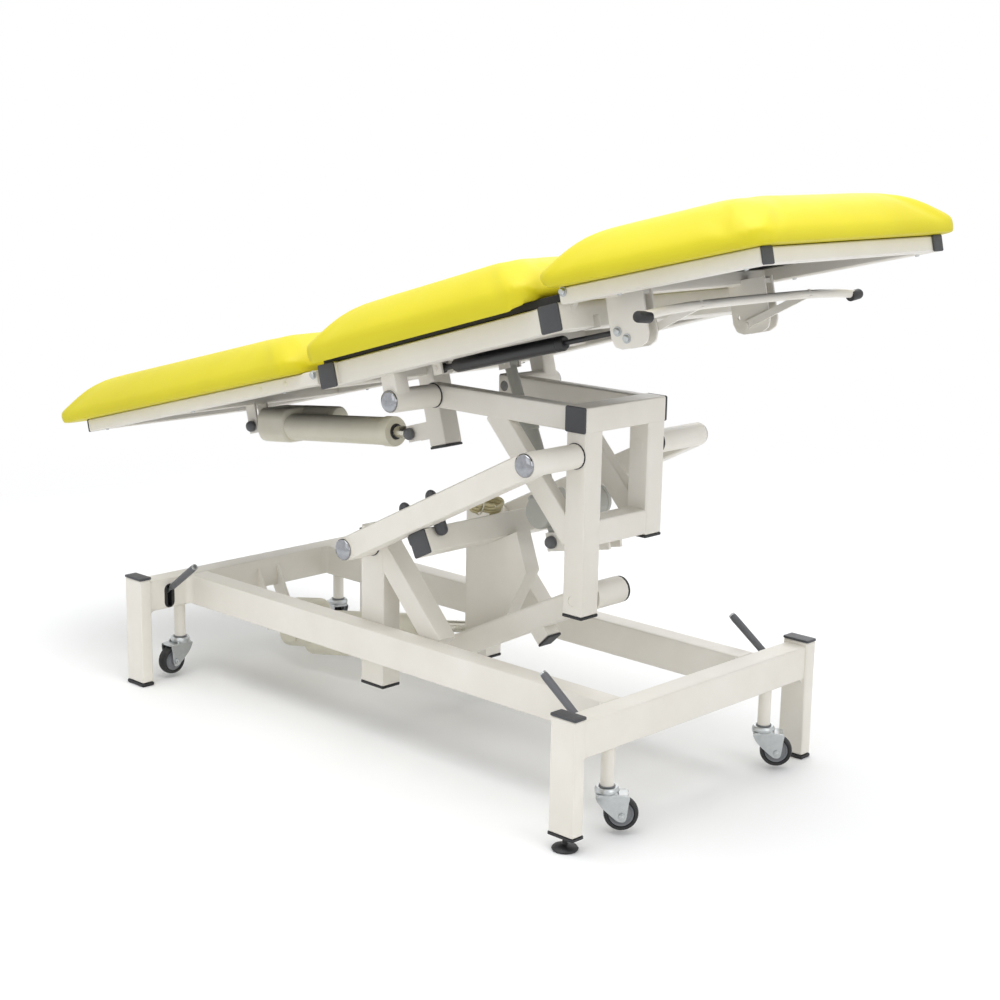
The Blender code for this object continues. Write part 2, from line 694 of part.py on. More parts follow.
for label, at in zip(("a", "b"), PEG_AT):
    profile = [(0.0, PEG_LOW)]
    for step in range(1, 4):
        profile.append((PEG_R * sin(step * pi / 6), PEG_LOW + PEG_R * (1 - cos(step * pi / 6))))
    for step in range(3, 0, -1):
        profile.append((PEG_R * sin(step * pi / 6), PEG_TOP - PEG_R * (1 - cos(step * pi / 6))))
    profile.append((0.0, PEG_TOP))
    part("arm_peg_" + label, turned(arms, profile, (at, -ARM_IN + PEG_R + GAP, 0.0), "Z", 10), GREY)

# Hank of cable: one flat helix of loops tied on the cross tube.
route = []
turns = HANK_LOOPS * 12
for i in range(turns + 1):
    t = 2 * pi * i / 12
    route.append((CROSS_AT + HANK_X * cos(t), HANK_MIDDLE + HANK_Y * sin(t),
                  CROSS_TOP + GAP + CABLE_R * 1.02 + HANK_PITCH * i / 12))
part("cable_hank", tube(arms, route, CABLE_R, 1), TAN)

# Lower link keeps the tower upright.
link = frame("link_axis", origin, PIVOT_X, LINK_Z, 0.0, ARM_ANGLE)
strut = block(link, (0.0, ARM_LENGTH), (LINK_OUT, LINK_IN), (-LINK_DEPTH / 2, LINK_DEPTH / 2))
low_hub = across(link, (0.0, 0.0), (LINK_OUT - 0.002, LINK_IN + 0.002), HUB_R + 0.003, 16)
top_hub = across(link, (ARM_LENGTH, 0.0), (LINK_OUT - 0.002, LINK_HUB_FAR), HUB_R + 0.003, 16)
stub = bar(link, (STUB_AT, -0.005), STUB_END, STUB_DEPTH, (LINK_OUT + 0.001, LINK_IN - 0.001))
low_bore = across(link, (0.0, 0.0), (-0.2, 0.2), LINK_PIN_R + FIT)
top_bore = across(link, (ARM_LENGTH, 0.0), (-0.2, 0.2), LINK_PIN_R + FIT)
part("lower_link", strut, CREAM,
     [("+", low_hub), ("+", top_hub), ("+", stub), ("-", low_bore), ("-", top_bore)])

# Tower: posts, bars, the two rails that carry the tilt pivot, and their braces.
TOP = add((PIVOT_X, PIVOT_Z), turn((ARM_LENGTH, 0.0), ARM_ANGLE))
tower = frame("tower_axis", origin, TOP[0], TOP[1])
half = POST / 2
inner = POST_OUT - POST
top_high = TOP_BAR_LOW + POST
near_post = block(tower, (-half, half), (-POST_OUT, -inner), (NEAR_POST_LOW, TOP_BAR_LOW + BITE))
far_post = block(tower, (-half, half), (inner, POST_OUT), (FAR_POST_LOW, TOP_BAR_LOW + BITE))
top_bar = block(tower, (-half - 0.0005, half + 0.0005), (-POST_OUT - 0.001, POST_OUT + 0.001),
                (TOP_BAR_LOW, top_high))
low_bar = block(tower, (-half + 0.001, half - 0.001), (-inner - BITE, inner + BITE),
                (LOW_BAR_LOW, LOW_BAR_LOW + POST))
steps = [("+", far_post), ("+", top_bar), ("+", low_bar)]
for side in (-1, 1):
    rail = block(tower, (TOWER_RAIL_END, -half + BITE),
                 pair(POST_OUT - TOWER_RAIL_W, POST_OUT - 0.0005, side),
                 (TOP_BAR_LOW + 0.001, top_high - 0.001))
    brace = bar(tower, TOWER_BRACE_TOP, TOWER_BRACE_FOOT, 0.048,
                pair(POST_OUT - TOWER_RAIL_W + 0.001, POST_OUT - 0.0015, side))
    cheek = bar(tower, (-0.012, LOW_BAR_LOW - 0.004), (TILT_DRIVE_X, TILT_DRIVE_Z), 0.038,
                pair(TILT_CHEEK_IN, TILT_CHEEK_IN + CHEEK_T, side), 0.016, 0.0)
    steps += [("+", rail), ("+", brace), ("+", cheek)]
reach = TILT_CHEEK_IN + CHEEK_T + 0.003
steps.append(("+", across(tower, (TILT_DRIVE_X, TILT_DRIVE_Z), (-reach, reach), DRIVE_PIN_R)))
steps.append(("-", across(tower, (0.0, 0.0), (-POST_OUT - 0.01, POST_OUT + 0.01), PIN_R + FIT)))
steps.append(("-", across(tower, (0.0, -LINK_DROP), (-POST_OUT - 0.01, -inner + 0.01), LINK_PIN_R + FIT)))
steps.append(("-", across(tower, (TILT_X, TILT_Z), (-POST_OUT - 0.01, POST_OUT + 0.01), PIN_R + FIT)))
part("tower_frame", near_post, CREAM, steps)
for label, side in (("near", -1), ("far", 1)):
    domed_pin("arm_pin_upper_" + label, tower, (0.0, 0.0), inner + 0.005, HUB_OUT + GAP, side)
    domed_pin("tilt_pin_" + label, tower, (TILT_X, TILT_Z), POST_OUT - TOWER_RAIL_W, TILT_HUB_OUT + GAP, side)
head_y = LINK_HUB_FAR + GAP
tower_pin = turned(tower, [(0.0, -POST_OUT + 0.001), (LINK_PIN_R, -POST_OUT + 0.001), (LINK_PIN_R, head_y),
                           (HUB_R, head_y), (HUB_R, head_y + 0.004), (HUB_R - 0.004, head_y + 0.006),
                           (0.0, head_y + 0.006)], (0.0, 0.0, -LINK_DROP), "Y")
part("link_pin_tower", tower_pin, BLACK)

# Lift drive: body pinned at the foot end rail, rod end loose round the lever's pin.
lift_end = add((PIVOT_X, PIVOT_Z), turn(LIFT_PIN, ARM_ANGLE))
lift_length, lift_rise = span((DRIVE_X, DRIVE_Z), lift_end)
lift = frame("lift_drive_axis", origin, DRIVE_X, DRIVE_Z, 0.0, lift_rise)
eye_half = CHEEK_IN - 0.002
eye = across(lift, (0.0, 0.0), (-eye_half, eye_half), LIFT_BODY_EYE_R)
neck = block(lift, (0.0, LIFT_NECK), (-eye_half + 0.004, eye_half - 0.004), (-LIFT_NECK_Z, LIFT_NECK_Z), 0.0)
house = block(lift, LIFT_HOUSE, (-LIFT_HOUSE_Y, LIFT_HOUSE_Y), LIFT_HOUSE_Z, 0.008)
motor = rod(lift, (LIFT_MOTOR[0], 0.0, LIFT_MOTOR_Z), (LIFT_MOTOR[1], 0.0, LIFT_MOTOR_Z), LIFT_MOTOR_R, 16)
sleeve = rod(lift, (LIFT_TUBE_START, 0.0, 0.0), (LIFT_TUBE_END, 0.0, 0.0), LIFT_TUBE_R)
bore = rod(lift, (LIFT_TUBE_START, 0.0, 0.0), (LIFT_TUBE_END + 0.02, 0.0, 0.0), LIFT_ROD_R + FIT)
hole = across(lift, (0.0, 0.0), (-0.1, 0.1), DRIVE_PIN_R + FIT)
part("lift_actuator_body", eye, IVORY,
     [("+", neck), ("+", house), ("+", motor), ("+", sleeve), ("-", bore), ("-", hole)])
ram = rod(lift, (LIFT_ROD_START, 0.0, 0.0), (lift_length - LIFT_EYE_HOLE - 0.003, 0.0, 0.0), LIFT_ROD_R)
ring = across(lift, (lift_length, 0.0), (-LEVER_SLOT + 0.0025, LEVER_SLOT - 0.0025), LIFT_EYE_R, 16)
hole = across(lift, (lift_length, 0.0), (-0.05, 0.05), LIFT_EYE_HOLE, 16)
part("lift_actuator_rod", ram, CHROME, [("+", ring), ("-", hole)])

# Seat section, tilting on the tower.
seat = frame("tilt_axis", tower, TILT_X, TILT_Z, 0.0, TILT_ANGLE)
SEAT_TOP = SEAT_LOW + SEAT_TUBE
foot_tube = block(seat, (SEAT_FOOT, SEAT_FOOT + SEAT_TUBE), (-SEAT_HALF, SEAT_HALF), (SEAT_LOW, SEAT_TOP))
head_tube = block(seat, (SEAT_HEAD - SEAT_TUBE, SEAT_HEAD), (-SEAT_HALF, SEAT_HALF), (SEAT_LOW, SEAT_TOP))
rail_in = SEAT_RAIL_OUT - SEAT_RAIL_W
mid = block(seat, (MID_AT - MID_W / 2, MID_AT + MID_W / 2), (-rail_in - BITE, rail_in + BITE),
            (MID_LOW, SEAT_TOP - 0.003))
leg_post = block(seat, (LEG_POST_U, LEG_POST_U + LEG_POST_SIZE), (-LEG_POST_SIZE / 2, LEG_POST_SIZE / 2),
                 (LEG_POST_LOW, SEAT_TOP - 0.006))
steps = [("+", head_tube)]
for side in (-1, 1):
    rail = block(seat, (SEAT_FOOT + 0.020, SEAT_HEAD - 0.020), pair(rail_in, SEAT_RAIL_OUT, side),
                 (SEAT_LOW + 0.001, SEAT_TOP - 0.001))
    hub = across(seat, (0.0, 0.0), pair(POST_OUT + HUB_GAP, TILT_HUB_OUT, side), HUB_R, 16)
    lug = block(seat, (-0.021, 0.021), pair(rail_in - 0.024, TILT_HUB_OUT - 0.003, side),
                (0.004, SEAT_LOW + 0.010))
    hub_bore = across(seat, (0.0, 0.0), pair(POST_OUT, TILT_HUB_OUT + HUB_R, side), PIN_R + FIT)
    steps += [("+", rail), ("+", hub), ("+", lug), ("-", hub_bore)]
steps += [("+", mid), ("+", leg_post)]
ear_out = SIDE_OUT - SIDE_W - 0.0005
ear_in = ear_out - 0.012
pin_out = SIDE_OUT + 0.003
for side in (-1, 1):
    leg_ear = bar(seat, LEG_HINGE, (SEAT_FOOT + 0.012, LEG_HINGE[1] - 0.004), 0.022,
                  pair(ear_in, ear_out, side), 0.010, 0.0)
    back_knuckle = across(seat, BACK_HINGE, pair(ear_in, ear_out, side), 0.0075, 10)
    back_ear = bar(seat, BACK_HINGE, (SEAT_HEAD - 0.010, SEAT_TOP - 0.018), 0.014,
                   pair(ear_in, ear_out, side), 0.0, 0.0)
    steps += [("+", leg_ear), ("+", back_knuckle), ("+", back_ear)]
    for at in (LEG_HINGE, BACK_HINGE):
        steps.append(("+", across(seat, at, pair(ear_in + 0.002, pin_out, side), HINGE_R, 10)))
    leg_cheek = bar(seat, (LEG_POST_U + 0.008, LEG_EYE[1]), LEG_EYE, 0.036,
                    pair(0.0145, 0.0205, side), 0.012, 0.0)
    tilt_cheek = block(seat, (TILT_EYE[0] - 0.014, TILT_EYE[0] + 0.014), pair(0.0135, 0.0185, side),
                       (TILT_EYE[1] - 0.013, MID_LOW + 0.006), 0.0)
    steps += [("+", leg_cheek), ("+", tilt_cheek)]
    offset = -BRACKET_Y + side * 0.0115
    spring_cheek = block(seat, (SPRING_SEAT[0] - 0.010, SPRING_SEAT[0] + 0.014),
                         (offset - 0.0025, offset + 0.0025), (SPRING_SEAT[1] - 0.012, MID_LOW + 0.006), 0.0)
    steps.append(("+", spring_cheek))
steps.append(("+", across(seat, LEG_EYE, (-0.023, 0.023), TILT_PIN_R, 14)))
steps.append(("+", across(seat, TILT_EYE, (-0.021, 0.021), TILT_PIN_R, 14)))
steps.append(("+", across(seat, SPRING_SEAT, (-BRACKET_Y - 0.016, -BRACKET_Y + 0.016), SPRING_PIN_R, 10)))
rod_slot = block(seat, (SEAT_HEAD - SEAT_TUBE - 0.01, SEAT_HEAD + 0.01),
                 (-BRACKET_Y - ROD_SLOT_HALF, -BRACKET_Y + ROD_SLOT_HALF),
                 (SEAT_LOW - 0.01, ROD_SLOT_TOP), 0.0)
steps.append(("-", rod_slot))
part("seat_frame", foot_tube, CREAM, steps)
part("seat_board", block(seat, (SEAT_FOOT + 0.004, SEAT_HEAD - 0.005), (-BOARD_HALF, BOARD_HALF),
                         (SEAT_TOP + GAP, SEAT_TOP + BOARD_T), 0.001), BLACK)
part("seat_pad", cushion(seat, (SEAT_PAD_FOOT, SEAT_PAD_HEAD), SEAT_TOP + BOARD_T + GAP,
                         *SEAT_PAD_ROUND), VINYL)

# Tilt drive between the tower's bracket and the seat's middle member.
tilt_end = add((TILT_X, TILT_Z), turn(TILT_EYE, TILT_ANGLE))
tilt_length, tilt_rise = span((TILT_DRIVE_X, TILT_DRIVE_Z), tilt_end)
tilt = frame("tilt_drive_axis", tower, TILT_DRIVE_X, TILT_DRIVE_Z, 0.0, tilt_rise)
eye_half = TILT_CHEEK_IN - 0.001
eye = across(tilt, (0.0, 0.0), (-eye_half, eye_half), TILT_BODY_EYE_R)
neck = block(tilt, (0.0, TILT_NECK), (-eye_half + 0.002, eye_half - 0.002), (-TILT_NECK_Z, TILT_NECK_Z), 0.0)
house = block(tilt, TILT_HOUSE, (-TILT_HOUSE_Y, TILT_HOUSE_Y), (-TILT_HOUSE_Z, TILT_HOUSE_Z), 0.006)
motor = across(tilt, (TILT_MOTOR_X, 0.0), TILT_MOTOR_Y, MOTOR_R, 16)
sleeve = rod(tilt, (TILT_TUBE[0], 0.0, 0.0), (TILT_TUBE[1], 0.0, 0.0), TILT_TUBE_R)
bore = rod(tilt, (TILT_BORE, 0.0, 0.0), (TILT_TUBE[1] + 0.02, 0.0, 0.0), TILT_ROD_R + FIT)
hole = across(tilt, (0.0, 0.0), (-0.1, 0.1), DRIVE_PIN_R + FIT)
part("tilt_actuator_body", eye, GREY,
     [("+", neck), ("+", house), ("+", motor), ("+", sleeve), ("-", bore), ("-", hole)])
ram = rod(tilt, (TILT_ROD_START, 0.0, 0.0), (tilt_length - 0.010, 0.0, 0.0), TILT_ROD_R)
ring = across(tilt, (tilt_length, 0.0), (-0.0115, 0.0115), TILT_EYE_R, 16)
hole = across(tilt, (tilt_length, 0.0), (-0.05, 0.05), TILT_PIN_R + 0.0028, 16)
part("tilt_actuator_rod", ram, CHROME, [("+", ring), ("-", hole)])


def section_rails(home, start, end, label_members):
    """Two side rails with hinge holes and the cross members at the given places."""
    steps = []
    far_rail = block(home, (start, end), pair(SIDE_OUT - SIDE_W, SIDE_OUT, 1), (SIDE_LOW, SIDE_TOP))
    steps.append(("+", far_rail))
    for at in label_members:
        member = block(home, at, (-SIDE_OUT + SIDE_W - BITE, SIDE_OUT - SIDE_W + BITE),
                       (SIDE_LOW + 0.001, SIDE_TOP - 0.001))
        steps.append(("+", member))
    rail = block(home, (start, end), pair(SIDE_OUT - SIDE_W, SIDE_OUT, -1), (SIDE_LOW, SIDE_TOP))
    for side in (-1, 1):
        through = pair(SIDE_OUT - 2 * SIDE_W, SIDE_OUT + SIDE_W, side)
        steps.append(("-", across(home, (0.0, 0.0), through, HINGE_R + FIT, 10)))
    return rail, steps


# Leg section.
leg = frame("leg_axis", seat, LEG_HINGE[0], LEG_HINGE[1], 0.0, -LEG_RISE)
rail, steps = section_rails(leg, LEG_FRAME_END, 0.010,
                            [(LEG_FRAME_END + 0.001, LEG_FRAME_END + 0.031),
                             (LEG_DRIVE[0] - 0.015, LEG_DRIVE[0] + 0.015), (-0.075, -0.045)])
for side in (-1, 1):
    steps.append(("+", block(leg, (LEG_DRIVE[0] - 0.017, LEG_DRIVE[0] + 0.017), pair(0.0145, 0.0195, side),
                             (LEG_DRIVE[1] - 0.017, SIDE_LOW + 0.008), 0.0)))
steps.append(("+", across(leg, LEG_DRIVE, (-0.022, 0.022), TILT_PIN_R, 14)))
part("leg_frame", rail, CREAM, steps)
part("leg_pad", cushion(leg, (LEG_PAD_END, LEG_PAD_NEAR), SIDE_TOP + GAP, *LEG_PAD_ROUND), VINYL)
leg_end = turn(add(LEG_EYE, (-LEG_HINGE[0], -LEG_HINGE[1])), LEG_RISE)
leg_length, leg_rise = span(LEG_DRIVE, leg_end)
leg_drive = frame("leg_drive_axis", leg, LEG_DRIVE[0], LEG_DRIVE[1], 0.0, leg_rise)
eye = across(leg_drive, (0.0, 0.0), (-LEG_EYE_HALF, LEG_EYE_HALF), LEG_BODY_EYE_R)
neck = block(leg_drive, (0.0, LEG_NECK), (-LEG_EYE_HALF + 0.002, LEG_EYE_HALF - 0.002),
             (-LEG_NECK_Z, LEG_NECK_Z), 0.0)
house = block(leg_drive, LEG_HOUSE, LEG_HOUSE_Y, LEG_HOUSE_Z, 0.007)
motor = rod(leg_drive, (LEG_MOTOR[0], LEG_MOTOR_Y, LEG_MOTOR_Z), (LEG_MOTOR[1], LEG_MOTOR_Y, LEG_MOTOR_Z),
            LEG_MOTOR_R, 16)
sleeve = rod(leg_drive, (LEG_TUBE[0], 0.0, 0.0), (LEG_TUBE[1], 0.0, 0.0), LEG_TUBE_R)
bore = rod(leg_drive, (LEG_BORE, 0.0, 0.0), (LEG_TUBE[1] + 0.02, 0.0, 0.0), LEG_ROD_R + FIT)
hole = across(leg_drive, (0.0, 0.0), (-0.1, 0.1), TILT_PIN_R + FIT, 14)
part("leg_actuator_body", eye, IVORY,
     [("+", neck), ("+", house), ("+", motor), ("+", sleeve), ("-", bore), ("-", hole)])
ram = rod(leg_drive, (LEG_ROD_START, 0.0, 0.0), (leg_length - 0.0125, 0.0, 0.0), LEG_ROD_R)
ring = across(leg_drive, (leg_length, 0.0), (-LEG_EYE_HALF + 0.0005, LEG_EYE_HALF - 0.0005), LEG_EYE_R, 16)
hole = across(leg_drive, (leg_length, 0.0), (-0.05, 0.05), TILT_PIN_R + 0.0055, 16)
part("leg_actuator_rod", ram, CHROME, [("+", ring), ("-", hole)])

# Back section with the two brackets under its hinge end.
back = frame("back_axis", seat, BACK_HINGE[0], BACK_HINGE[1], 0.0, -BACK_DROP)
rail, steps = section_rails(back, -0.012, BACK_FRAME_END,
                            [(BACK_FRAME_END - 0.031, BACK_FRAME_END - 0.001), (0.028, 0.058)])
shape = [(BRACKET_FOOT, SIDE_LOW + 0.010), (BRACKET_FOOT, BRACKET_LOW + BRACKET_CORNER),
         (BRACKET_FOOT + BRACKET_CORNER, BRACKET_LOW), (BRACKET_HEAD - BRACKET_CORNER, BRACKET_LOW),
         (BRACKET_HEAD, BRACKET_LOW + BRACKET_CORNER), (BRACKET_HEAD, SIDE_LOW + 0.010)]
shape = [shape[0]] + softened(shape, 0.008, 1)[2:10] + [shape[5]]
for side in (-1, 1):
    for way in (-1, 1):
        inner_y = side * BRACKET_Y + way * BRACKET_IN
        outer_y = inner_y + way * BRACKET_T
        steps.append(("+", plate(back, shape, (inner_y, outer_y))))
    web = block(back, (BRACKET_FOOT + 0.004, BRACKET_HEAD - 0.004),
                (side * BRACKET_Y - BRACKET_IN - 0.002, side * BRACKET_Y + BRACKET_IN + 0.002),
                (SIDE_LOW - 0.003, SIDE_LOW + 0.006), 0.0)
    steps.append(("+", web))
    bolt = pair(BRACKET_Y - BRACKET_IN - BRACKET_T - 0.008, BRACKET_Y - BRACKET_IN - 0.001, side)
    steps.append(("+", across(back, BAR_PIVOT, bolt, BAR_PIN_R, 10)))
steps.append(("+", across(back, SPRING_EYE, (-BRACKET_Y - BRACKET_IN - BRACKET_T - 0.003,
                                             -BRACKET_Y + BRACKET_IN + 0.002), SPRING_PIN_R, 10)))
steps.append(("-", across(back, SPRING_EYE, (BRACKET_Y - 0.03, BRACKET_Y + 0.03), SPRING_PIN_R, 10)))
part("back_frame", rail, CREAM, steps)
part("back_pad", cushion(back, (BACK_PAD_NEAR, BACK_PAD_END), SIDE_TOP + GAP, *BACK_PAD_ROUND), VINYL)

# Gas spring from the seat's middle member to the near bracket.
spring_end = add(BACK_HINGE, turn(SPRING_EYE, -BACK_DROP))
spring_length, spring_rise = span(SPRING_SEAT, spring_end)
gas = frame("gas_spring_axis", seat, SPRING_SEAT[0], SPRING_SEAT[1], -BRACKET_Y, spring_rise)
eye = across(gas, (0.0, 0.0), (-SPRING_EYE_HALF, SPRING_EYE_HALF), SPRING_EYE_R)
neck = rod(gas, (SPRING_NECK[0], 0.0, 0.0), (SPRING_NECK[1], 0.0, 0.0), SPRING_NECK_R)
barrel = rod(gas, (SPRING_TUBE[0], 0.0, 0.0), (SPRING_TUBE[1], 0.0, 0.0), SPRING_R)
bore = rod(gas, (SPRING_BORE, 0.0, 0.0), (SPRING_TUBE[1] + 0.015, 0.0, 0.0), SPRING_ROD_R + FIT, 10)
hole = across(gas, (0.0, 0.0), (-0.1, 0.1), SPRING_PIN_R + FIT, 10)
part("gas_spring_body", eye, BLACK, [("+", neck), ("+", barrel), ("-", bore), ("-", hole)])
ram = rod(gas, (SPRING_ROD_START, 0.0, 0.0), (spring_length - SPRING_RING_HOLE - 0.001, 0.0, 0.0),
          SPRING_ROD_R, 10)
ring = across(gas, (spring_length, 0.0), (-SPRING_EYE_HALF, SPRING_EYE_HALF), SPRING_RING_R, 16)
hole = across(gas, (spring_length, 0.0), (-0.05, 0.05), SPRING_RING_HOLE, 16)
part("gas_spring_rod", ram, BLACK, [("+", ring), ("-", hole)])

# Release bar across the back section, on two arms beside the brackets.
release = frame("release_axis", back, BAR_PIVOT[0], BAR_PIVOT[1])
bar_at = add(BAR_AT, (-BAR_PIVOT[0], -BAR_PIVOT[1]))
route = []
for i in range(11):
    y = BAR_HALF * (i / 5 - 1)
    route.append((bar_at[0], y, bar_at[1] - 0.010 * (y / BAR_HALF) ** 4))
steps = []
for side in (-1, 1):
    beside = BRACKET_Y - BRACKET_IN - BRACKET_T - 0.0008
    lever = bar(release, (0.0, 0.0), bar_at, 0.014, pair(beside - 0.005, beside, side), 0.007, 0.0)
    steps.append(("+", lever))
for side in (-1, 1):
    steps.append(("-", across(release, (0.0, 0.0), pair(0.10, 0.30, side), BAR_PIN_R + FIT, 10)))
part("release_bar", tube(release, route, BAR_R, 2), CREAM, steps)

# The origin lies under the middle of the whole outline.
origin.location.x = ORIGIN_SHIFT
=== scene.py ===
"""Looks of the hi-lo ultrasound table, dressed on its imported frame.

Metres, +Z up, +X towards the head end, +Y away from the long side that the camera sees. The
sections follow the table as it is put together: base, castors, lift, tower, couch and pads.
"""
import json
from math import cos, pi, radians, sin

import bmesh
import bpy
import numpy as np
from mathutils import Matrix, Vector


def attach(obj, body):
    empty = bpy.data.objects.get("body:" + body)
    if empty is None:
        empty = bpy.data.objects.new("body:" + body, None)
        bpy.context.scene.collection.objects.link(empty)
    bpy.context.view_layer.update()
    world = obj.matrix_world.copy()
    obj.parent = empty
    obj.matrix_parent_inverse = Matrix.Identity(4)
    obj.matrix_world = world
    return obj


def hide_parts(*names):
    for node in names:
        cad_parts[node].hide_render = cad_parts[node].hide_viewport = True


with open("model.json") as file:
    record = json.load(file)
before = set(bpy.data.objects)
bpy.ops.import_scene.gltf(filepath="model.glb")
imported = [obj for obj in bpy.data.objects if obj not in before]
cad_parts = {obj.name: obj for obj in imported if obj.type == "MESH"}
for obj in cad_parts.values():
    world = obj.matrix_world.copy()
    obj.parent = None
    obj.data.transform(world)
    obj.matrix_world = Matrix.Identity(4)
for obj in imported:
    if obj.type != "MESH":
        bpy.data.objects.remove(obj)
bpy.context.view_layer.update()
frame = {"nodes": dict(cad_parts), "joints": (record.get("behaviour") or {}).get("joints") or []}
scene = bpy.context.scene
scene.view_settings.view_transform = "Standard"

# Camera on a stand at the head end of the near long side, a little above the pads. Its turn, fall and
# roll are the photograph's own.
CAMERA_AT = (2.6504, -2.5888, 1.2790)
CAMERA_TURN = radians(43.807)
CAMERA_FALL = radians(12.531)
CAMERA_ROLL = radians(1.003)
ahead = Vector((-sin(CAMERA_TURN) * cos(CAMERA_FALL), cos(CAMERA_TURN) * cos(CAMERA_FALL), -sin(CAMERA_FALL)))
level = Vector((cos(CAMERA_TURN), sin(CAMERA_TURN), 0.0))
upright = level.cross(ahead)
right = cos(CAMERA_ROLL) * level + sin(CAMERA_ROLL) * upright
camera_data = bpy.data.cameras.new("camera")
camera_data.sensor_width = 36.0
camera_data.lens = 63.67
camera_data.shift_y = 0.01247
camera_data.clip_end = 60.0
camera = bpy.data.objects.new("camera", camera_data)
stand = Matrix((right, right.cross(ahead), -ahead)).transposed()
camera.matrix_world = Matrix.Translation(CAMERA_AT) @ stand.to_4x4()
scene.collection.objects.link(camera)
scene.camera = camera


# Studio: a seamless pale floor that fades into a white surround, lit by wide soft boxes overhead and at
# both sides. Rays from the camera and from polished metal see the surround as plain white.
def linear(colour):
    """sRGB hex to linear RGBA: c / 12.92 below 0.04045, else ((c + 0.055) / 1.055) to the power 2.4."""
    c = np.array([int(colour[i:i + 2], 16) for i in (1, 3, 5)]) / 255.0
    c = np.where(c <= 0.04045, c / 12.92, ((c + 0.055) / 1.055) ** 2.4)
    return (*c.tolist(), 1.0)


def put(tree, kind, sockets=None, family="ShaderNode", **settings):
    """One node: its settings, and for each named socket a value or the output that feeds it."""
    made = tree.nodes.new(family + kind)
    for name, value in settings.items():
        setattr(made, name, value)
    for name, value in (sockets or {}).items():
        if isinstance(value, bpy.types.NodeSocket):
            tree.links.new(value, made.inputs[name])
        else:
            made.inputs[name].default_value = value
    return made


surround = bpy.data.worlds.new("white surround")
surround.use_nodes = True
tree = surround.node_tree
tree.nodes.clear()
ray = put(tree, "LightPath")
seen = put(tree, "Math", {0: ray.outputs["Is Camera Ray"], 1: ray.outputs["Is Glossy Ray"]}, operation="ADD")
seen = put(tree, "Math", {0: seen.outputs[0], 1: ray.outputs["Is Transmission Ray"]}, operation="ADD",
           use_clamp=True)
room = put(tree, "Background", {"Color": linear("#F4F6FA"), "Strength": 0.75})
white = put(tree, "Background", {"Color": (1.0, 1.0, 1.0, 1.0), "Strength": 1.0})
mixed = put(tree, "MixShader", {0: seen.outputs[0], 1: room.outputs[0], 2: white.outputs[0]})
put(tree, "OutputWorld", {"Surface": mixed.outputs[0]})
scene.world = surround

FLOOR_EYE = 0.02
FLOOR_REACH = 6.0
FLOOR_DROP = 0.0005
FLOOR_FADE = (1.2, 3.4)
FLOOR_RINGS = 24
FLOOR_SPOKES = 64
floor_mesh = bpy.data.meshes.new("studio_floor")
r, a = np.meshgrid(np.linspace(FLOOR_EYE, FLOOR_REACH, FLOOR_RINGS),
                   np.linspace(0, 2 * pi, FLOOR_SPOKES, endpoint=False), indexing="ij")
floor_points = np.stack([r * np.cos(a), r * np.sin(a), 0 * r - FLOOR_DROP], -1)
i, j = np.meshgrid(np.arange(FLOOR_RINGS - 1) * FLOOR_SPOKES, np.arange(FLOOR_SPOKES), indexing="ij")
k, n = i + FLOOR_SPOKES, (j + 1) % FLOOR_SPOKES
floor_faces = np.stack([i + j, k + j, k + n, i + n], -1)
floor_mesh.from_pydata(floor_points.reshape(-1, 3).tolist(), [],
                       [*floor_faces.reshape(-1, 4).tolist(), list(range(FLOOR_SPOKES))])
floor = bpy.data.objects.new("studio_floor", floor_mesh)
scene.collection.objects.link(floor)
sweep = bpy.data.materials.new("painted studio floor")
sweep.use_nodes = True
tree = sweep.node_tree
tree.nodes.clear()
place = put(tree, "TexCoord")
away = put(tree, "VectorMath", {0: place.outputs["Object"]}, operation="LENGTH")
fade = put(tree, "MapRange", {"Value": away.outputs["Value"], "From Min": FLOOR_FADE[0],
                              "From Max": FLOOR_FADE[1]}, interpolation_type="SMOOTHSTEP")
scuff = put(tree, "TexNoise", {"Vector": place.outputs["Object"], "Scale": 3.0, "Detail": 3.0})
paint = put(tree, "ValToRGB", {"Fac": scuff.outputs["Fac"]})
paint.color_ramp.elements[0].color = linear("#F7F7F6")
paint.color_ramp.elements[1].color = linear("#FCFCFB")
matt = put(tree, "BsdfDiffuse", {"Color": paint.outputs["Color"]})
clear = put(tree, "BsdfTransparent")
both = put(tree, "MixShader", {0: fade.outputs["Result"], 1: matt.outputs[0], 2: clear.outputs[0]})
put(tree, "OutputMaterial", {"Surface": both.outputs[0]})
floor_mesh.materials.append(sweep)

# name, place, point it faces, side in metres, watts
SOFT_BOXES = (("overhead", (0.3, -0.3, 3.6), (0.0, 0.0, 0.6), 3.2, 90.0),
              ("near_side", (0.6, -3.8, 2.1), (0.0, 0.0, 0.6), 2.6, 13.0),
              ("head_side", (4.0, -0.6, 1.9), (0.2, 0.0, 0.6), 2.4, 26.0),
              ("far_side", (-1.6, 3.4, 2.4), (0.0, 0.0, 0.6), 2.4, 24.0))
for name, at, target, wide, power in SOFT_BOXES:
    lamp = bpy.data.lights.new(name, "AREA")
    lamp.size = wide
    lamp.energy = power
    box = bpy.data.objects.new(name, lamp)
    box.location = at
    box.rotation_euler = (Vector(target) - Vector(at)).to_track_quat("-Z", "Y").to_euler()
    scene.collection.objects.link(box)


# Welded frame of the whole table: square and rectangular steel tube, blasted and powder coated warm white.
# The baked powder leaves a soft satin gloss with a faint orange-peel ripple, a little uneven in tone.
def material(name):
    """New material with its tree, its Principled shader and its Object coordinates."""
    made = bpy.data.materials.new(name)
    made.use_nodes = True
    shader = made.node_tree.nodes["Principled BSDF"]
    where = put(made.node_tree, "TexCoord").outputs["Object"]
    return made, made.node_tree, shader, where


